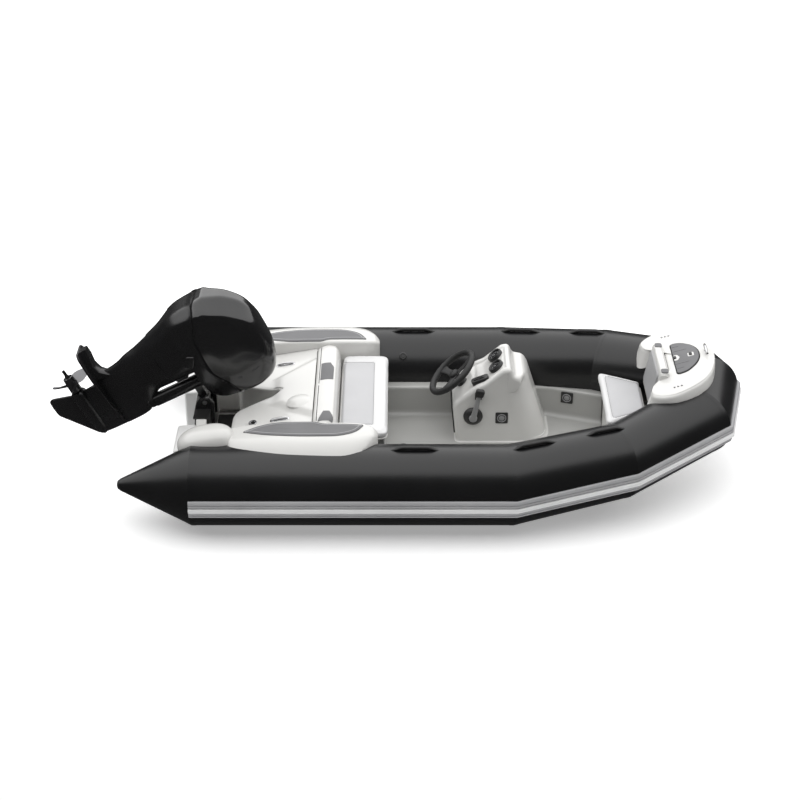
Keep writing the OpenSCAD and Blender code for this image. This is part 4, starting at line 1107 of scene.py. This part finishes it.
vent_ring = turned([(0.0, 0.004), (0.016, 0.004), (0.018, 0.002), (0.021, 0.002), (0.022, 0.006), (0.026, 0.006),
                    (0.027, 0.002), (0.027, -0.004)], 40)
vent_plate = plate(rounded([(-0.036, -0.036), (0.036, -0.036), (0.036, 0.036), (-0.036, 0.036)], 0.008), -0.004, 0.003)
near_vent = Matrix.Translation((0.352, console_near - 0.001, 0.206)) @ Matrix.Rotation(math.radians(90), 4, "X")
far_vent = (Matrix.Translation((0.752, wall_y(0.752) - 0.001, 0.176)) @ Matrix.Rotation(math.radians(-17.9), 4, "Z")
            @ Matrix.Rotation(math.radians(90), 4, "X"))
fit(piece("vent_plates", [moved(vent_plate, m) for m in (near_vent, far_vent)], black, crease=50),
    "root", "black_plastic", "vents")
fit(piece("vent_centres", [moved(vent_ring, m) for m in (near_vent, far_vent)], grey_plastic, crease=50),
    "root", "grey_plastic")

throttle_at = Matrix.Translation((0.186, console_near, 0.219)) @ Matrix.Rotation(math.radians(90), 4, "X")
box_outline = [(0.0, 0.027), (0.020, 0.027), (0.034, 0.026), (0.044, 0.022), (0.050, 0.014), (0.055, 0.010), (0.056, 0.004),
               (0.056, -0.002)]
fit(piece("throttle_housing", [moved(turned(box_outline, 64), throttle_at)], black, crease=50),
    "root", "black_plastic", "throttle_box")
lever_plan = [(-0.017, -0.010), (0.017, -0.010), (0.013, 0.10), (0.012, 0.150), (0.018, 0.192), (-0.018, 0.192),
              (-0.012, 0.150), (-0.013, 0.10)]
lever_turn = throttle_at @ Matrix.Rotation(math.radians(-12), 4, "Z")
lever_arm = moved(plate(rounded(lever_plan, 0.012, 5), 0.027, 0.039, 0.004), lever_turn)
lever_hub = moved(turned([(0.0, 0.038), (0.018, 0.038), (0.023, 0.034), (0.024, 0.026)], 48), throttle_at)
knob = moved(plate(rounded([(-0.024, 0.150), (0.024, 0.150), (0.026, 0.196), (-0.026, 0.196)], 0.016, 6), 0.024, 0.050, 0.009),
             lever_turn)
fit(piece("throttle_arm", [lever_arm, lever_hub], grey_plastic, crease=50), "root", "grey_plastic", "throttle_lever")
fit(piece("throttle_knob", [knob], grip, crease=50), "root", "grip_rubber")

# ---------------------------------------------------------------- steering wheel
wheel_at = Matrix.Translation((0.068, helm_y, 0.412)) @ Matrix.Rotation(math.radians(-42), 4, "Y")
rim = swept([(0.151 * math.cos(a), 0.151 * math.sin(a), 0) for a in spread(0, 2 * math.pi, 96)[:-1]],
            lambda t: [(0.0192 * math.cos(b), (0.0192 - 0.0012 * max(0.0, math.sin(b)) * (math.cos(t * 48 * math.pi) > 0.6))
                        * math.sin(b)) for b in spread(0, 2 * math.pi, 20)[:-1]], closed=True)


def spoke(turn):
    rings = []
    for t in spread(0, 1, 12):
        r = 0.020 + 0.125 * t
        half = 0.027 - 0.010 * math.sin(math.pi * t) + 0.006 * t
        z = -0.022 + 0.020 * ease(t)
        rings.append([Matrix.Rotation(turn, 3, "Z") @ Vector((r, half * math.copysign(abs(math.cos(a)) ** 0.6, math.cos(a)),
                                                             z + 0.0055 * math.sin(a))) for a in spread(0, 2 * math.pi, 20)[:-1]])
    return skin(rings)


hub = turned([(0.0, 0.002), (0.018, 0.001), (0.027, -0.004), (0.031, -0.012), (0.030, -0.024), (0.026, -0.036), (0.0, -0.036)], 48)
wheel_shapes = [moved(s, wheel_at) for s in [rim, hub] + [spoke(math.radians(120 * k)) for k in range(3)]]
fit(piece("steering_wheel_rim", wheel_shapes, grip, crease=50), "wheel", "grip_rubber", "steering_wheel")
column = turned([(0.0, -0.042), (0.016, -0.042), (0.016, -0.060), (0.030, -0.074), (0.036, -0.100), (0.036, -0.14)], 40)
fit(piece("steering_column_boot", [moved(column, wheel_at)], black, crease=50), "root", "black_plastic", "steering_column")

# ---------------------------------------------------------------- outboard
tilt = Matrix.Translation((-1.337, 0, 0.400)) @ Matrix.Rotation(math.radians(62.5), 4, "Y")
cowl_z = [0.147, 0.200, 0.266, 0.329, 0.400, 0.447, 0.480, 0.500, 0.511, 0.515]
cowl_lines = [through(cowl_z, row) for row in (
    [-0.568, -0.576, -0.576, -0.560, -0.528, -0.488, -0.450, -0.412, -0.370, -0.330],
    [0.074, 0.083, 0.087, 0.084, 0.064, 0.028, -0.030, -0.085, -0.135, -0.190],
    [0.172, 0.172, 0.166, 0.155, 0.142, 0.126, 0.108, 0.088, 0.062, 0.028],
    [0.040, 0.048, 0.058, 0.070, 0.084, 0.094, 0.098, 0.092, 0.076, 0.048],
    [0.085, 0.080, 0.072, 0.062, 0.052, 0.045, 0.040, 0.034, 0.026, 0.014])]


def shell_ring(z, lines, shrink=0.0, drop=0.0):
    """A level of the engine's shell: a flat rear, a slanting shoulder each side, and a rounded front."""
    aft, fore, half, shoulder, rear = [line(z) for line in lines]
    aft, fore, half = aft + shrink, fore - shrink, half - shrink
    rear = min(rear, half * 0.9)
    deep = fore - aft
    port = [(aft, rear), (aft + shoulder, half), (aft + deep * 0.45, half * 1.0), (fore - deep * 0.22, half * 0.86),
            (fore - deep * 0.03, half * 0.42)]
    outline = port + [(x, -y) for x, y in reversed(port)]
    radii = [0.016, 0.020, 0.12, 0.10, 0.09]
    return [(p.x, p.y, z - drop) for p in
            resampled([(q.x, q.y, 0) for q in rounded(outline, radii + radii[::-1], 8)], 140)]


# The joint between the cowl and its tray dips along each side
joint_line = through([-0.60, -0.549, -0.387, -0.265, -0.163, -0.065, 0.09], [0.246, 0.242, 0.171, 0.143, 0.163, 0.212, 0.226])


def bent(ring, share):
    """A ring lifted towards the cowl's joint line."""
    return [(x, y, z + (joint_line(x) - 0.147) * share) for x, y, z in ring]


cowl_rings = [bent(shell_ring(z, cowl_lines), max(0.0, 1 - (z - 0.147) / 0.22) ** 1.3) for z in spread(0.147, 0.500, 40)]
cowl_rings += [shell_ring(z, cowl_lines) for z in (0.506, 0.511, 0.5145)]
fit(piece("cowl_shell", [moved(skin(cowl_rings), tilt)], engine_gloss, crease=22), "engine", "cowl_gloss", "engine_cowl")

pan_z = [0.062, 0.100, 0.146]
pan_lines = [through(pan_z, row) for row in (
    [-0.548, -0.566, -0.574], [0.020, 0.064, 0.080], [0.136, 0.158, 0.177], [0.035, 0.038, 0.040], [0.080, 0.085, 0.088])]
apron_z = [-0.110, -0.030, 0.062]
apron_lines = [through(apron_z, row) for row in (
    [-0.484, -0.508, -0.548], [-0.160, -0.160, -0.160], [0.086, 0.108, 0.135], [0.050, 0.050, 0.045], [0.035, 0.050, 0.070])]
pan_rings = [bent(shell_ring(z, pan_lines), ((z - 0.062) / 0.084) ** 1.5) for z in spread(0.062, 0.138, 10)]
pan_rings += [bent(shell_ring(z, pan_lines, -0.003), 1.0) for z in (0.140, 0.1455)]
apron = skin([shell_ring(z, apron_lines) for z in spread(-0.110, 0.0625, 12)])
seal = skin([bent(shell_ring(0.1440, pan_lines, 0.004), 1.0), bent(shell_ring(0.1480, cowl_lines, 0.004), 1.0)])
latch = [(p.x, p.y) for p in rounded([(-0.336, 0.087), (-0.313, 0.130), (-0.253, 0.083), (-0.286, 0.042)], 0.010, 4)]
latch_shape = skin([[(x, y, z) for x, z in latch] for y in (-0.138, -0.164)]
                   + [[(p.x, -0.168, p.y) for p in inset([Vector(q) for q in latch], 0.004)]])
fit(piece("engine_tray_and_apron", [moved(s, tilt) for s in [skin(pan_rings), apron, seal] + both(latch_shape)],
          engine_satin, crease=25), "engine", "engine_paint", "engine_pan")


def leg_ring(z, aft, fore, half, n=56):
    out = []
    for k in range(n):
        a = 2 * math.pi * k / n
        t = (1 + math.cos(a)) / 2
        width = half * (1.02 * math.sin(math.pi * min(1, max(0, t)) ** 0.8) ** 0.6 if 0 < t < 1 else 0)
        out.append((aft + (fore - aft) * t, math.copysign(width, math.sin(a)) if abs(math.sin(a)) > 1e-6 else 0.0, z))
    return out


leg_z = [-0.482, -0.400, -0.330, -0.285, -0.200, -0.108]
leg_lines = [through(leg_z, row) for row in (
    [-0.404, -0.408, -0.420, -0.436, -0.456, -0.485], [-0.050, -0.052, -0.062, -0.100, -0.160, -0.158],
    [0.040, 0.044, 0.052, 0.060, 0.070, 0.088])]
leg = skin([leg_ring(z, *[line(z) for line in leg_lines]) for z in spread(-0.482, -0.108, 30)])
fit(piece("engine_leg", [moved(leg, tilt)], engine_satin, crease=45), "engine", "engine_paint", "leg")

plate_plan = rounded([(-0.583, -0.062), (-0.560, -0.084), (-0.420, -0.094), (-0.220, -0.080), (-0.098, -0.040), (-0.054, -0.006),
                      (-0.054, 0.006), (-0.098, 0.040), (-0.220, 0.080), (-0.420, 0.094), (-0.560, 0.084), (-0.583, 0.062)],
                     [0.01, 0.02, 0.05, 0.05, 0.03, 0.004, 0.004, 0.03, 0.05, 0.05, 0.02, 0.01], 5)
cav_plate = plate(plate_plan, -0.492, -0.4822, 0.003)
fin_stations = [(-0.576, 0.030, -0.436), (-0.530, 0.046, -0.440), (-0.470, 0.052, -0.452), (-0.420, 0.048, -0.440),
                (-0.380, 0.040, -0.400)]
fin = skin([[(x, -h, -0.484), (x, -h * 0.8, z - 0.006), (x, -h * 0.6, z), (x, h * 0.6, z), (x, h * 0.8, z - 0.006), (x, h, -0.484)]
            for x, h, z in fin_stations])
strut_z = [-0.640, -0.560, -0.493]
strut_lines = [through(strut_z, row) for row in (
    [-0.346, -0.350, -0.356], [-0.056, -0.052, -0.052], [0.030, 0.033, 0.041])]
strut = skin([leg_ring(z, *[line(z) for line in strut_lines]) for z in spread(-0.640, -0.490, 10)])
case = turned([(0.0, 0.0), (0.038, 0.0), (0.046, 0.010), (0.048, 0.04), (0.048, 0.150), (0.045, 0.20), (0.037, 0.25),
               (0.024, 0.29), (0.010, 0.303), (0.0, 0.306)], 56)
case_at = Matrix.Translation((-0.358, 0, -0.637)) @ Matrix.Rotation(math.radians(90), 4, "Y")
skeg_side = [(-0.345, -0.664), (-0.380, -0.790), (-0.374, -0.815), (-0.330, -0.819), (-0.270, -0.816), (-0.062, -0.664),
             (-0.100, -0.645)]
skeg_line = rounded(skeg_side, 0.014, 4)
skeg = skin([[(p.x, y * 1.0, p.y) for p in inset([Vector((q.x, q.y)) for q in skeg_line], step)]
             for y, step in ((-0.0062, 0.003), (-0.0035, 0.0), (0.0035, 0.0), (0.0062, 0.003))])
shaft = moved(turned([(0.0, 0.0), (0.009, 0.0), (0.009, 0.16), (0.0, 0.16)], 32),
              Matrix.Translation((-0.508, 0, -0.637)) @ Matrix.Rotation(math.radians(90), 4, "Y"))
lower = [moved(s, tilt) for s in (cav_plate, fin, strut, moved(case, case_at), skeg, shaft)]
fit(piece("lower_unit", lower, engine_satin, crease=40), "engine", "engine_paint", "gearcase")

prop_at = tilt @ Matrix.Translation((-0.363, 0, -0.637)) @ Matrix.Rotation(math.radians(-90), 4, "Y")


def blade(turn):
    """A twisted blade: its pitch eases off and its chord rounds away towards the tip."""
    rings = []
    for t in spread(0, 1, 18):
        r = 0.026 + 0.113 * t
        chord = 0.040 + 0.052 * math.sin(math.pi * min(t, 0.98) ** 0.8)
        chord *= math.sqrt(max(1 - max(0.0, (t - 0.55) / 0.45) ** 2.4, 0.02))
        lean = math.radians(52 - 30 * t)
        thick = 0.0055 * (1 - 0.7 * t)
        sweep = -0.35 * t * t
        ring = []
        for k in range(20):
            a = 2 * math.pi * k / 20
            c, s = chord / 2 * math.cos(a), thick / 2 * math.sin(a) + 0.004 * math.cos(a) ** 2
            around = (c * math.cos(lean) - s * math.sin(lean)) / max(r, 0.03)
            along = c * math.sin(lean) + s * math.cos(lean)
            b = turn + sweep + around
            ring.append((r * math.cos(b), r * math.sin(b), 0.048 + max(-0.030, min(0.040, along * 0.75)) + 0.010 * t))
        rings.append(ring)
    return skin(rings)


prop_hub = turned([(0.0095, 0.001), (0.030, 0.001), (0.0325, 0.010), (0.0325, 0.060), (0.029, 0.096), (0.024, 0.097),
                   (0.022, 0.090), (0.0095, 0.088)], 56)
nut = turned([(0.0, 0.118), (0.009, 0.117), (0.013, 0.108), (0.014, 0.089), (0.0, 0.089)], 6)
prop_shapes = [moved(s, prop_at) for s in [prop_hub, nut] + [blade(math.radians(120 * k + 60)) for k in range(3)]]
fit(piece("propeller_wheel", prop_shapes, prop_metal, crease=50), "propeller", "engine_paint", "propeller")



def block_shape(low, high, edge=0.004):
    outline = rounded([(low[0], low[1]), (high[0], low[1]), (high[0], high[1]), (low[0], high[1])], edge * 2, 4)
    return plate(outline, low[2], high[2], edge)


# Black plates on the transom stand in for the dark bracket and cables there and paint the shade round them; the black
# sheet on the splash well floor is painted shade
mount = [block_shape((-1.3965, -0.120, 0.120), (-1.3795, 0.120, 0.350)), block_shape((-1.321, -0.185, 0.120), (-1.306, 0.185, 0.350)),
         block_shape((-1.3965, -0.186, 0.3505), (-1.306, 0.186, 0.3575), 0.003),
         block_shape((-1.318, -0.398, 0.0302), (-1.180, 0.398, 0.0345), 0.002)]
fit(piece("transom_dark_plates_and_well_shade_mat", mount, black, crease=40), "root", "black_plastic")
eased_copy("clamp_bracket", "clamp_bracket_casting", "root", "engine_paint", engine_satin, 0.004)
eased_copy("swivel_bracket", "swivel_bracket_casting", "swivel", "engine_paint", engine_satin, 0.004)
eased_copy("steering_pivot", "steering_pivot_casting", "engine", "engine_paint", engine_satin, 0.003)
for node, material in (("tilt_tube", bare_steel), ("powerhead", iron)):
    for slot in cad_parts[node].material_slots:
        slot.material = material
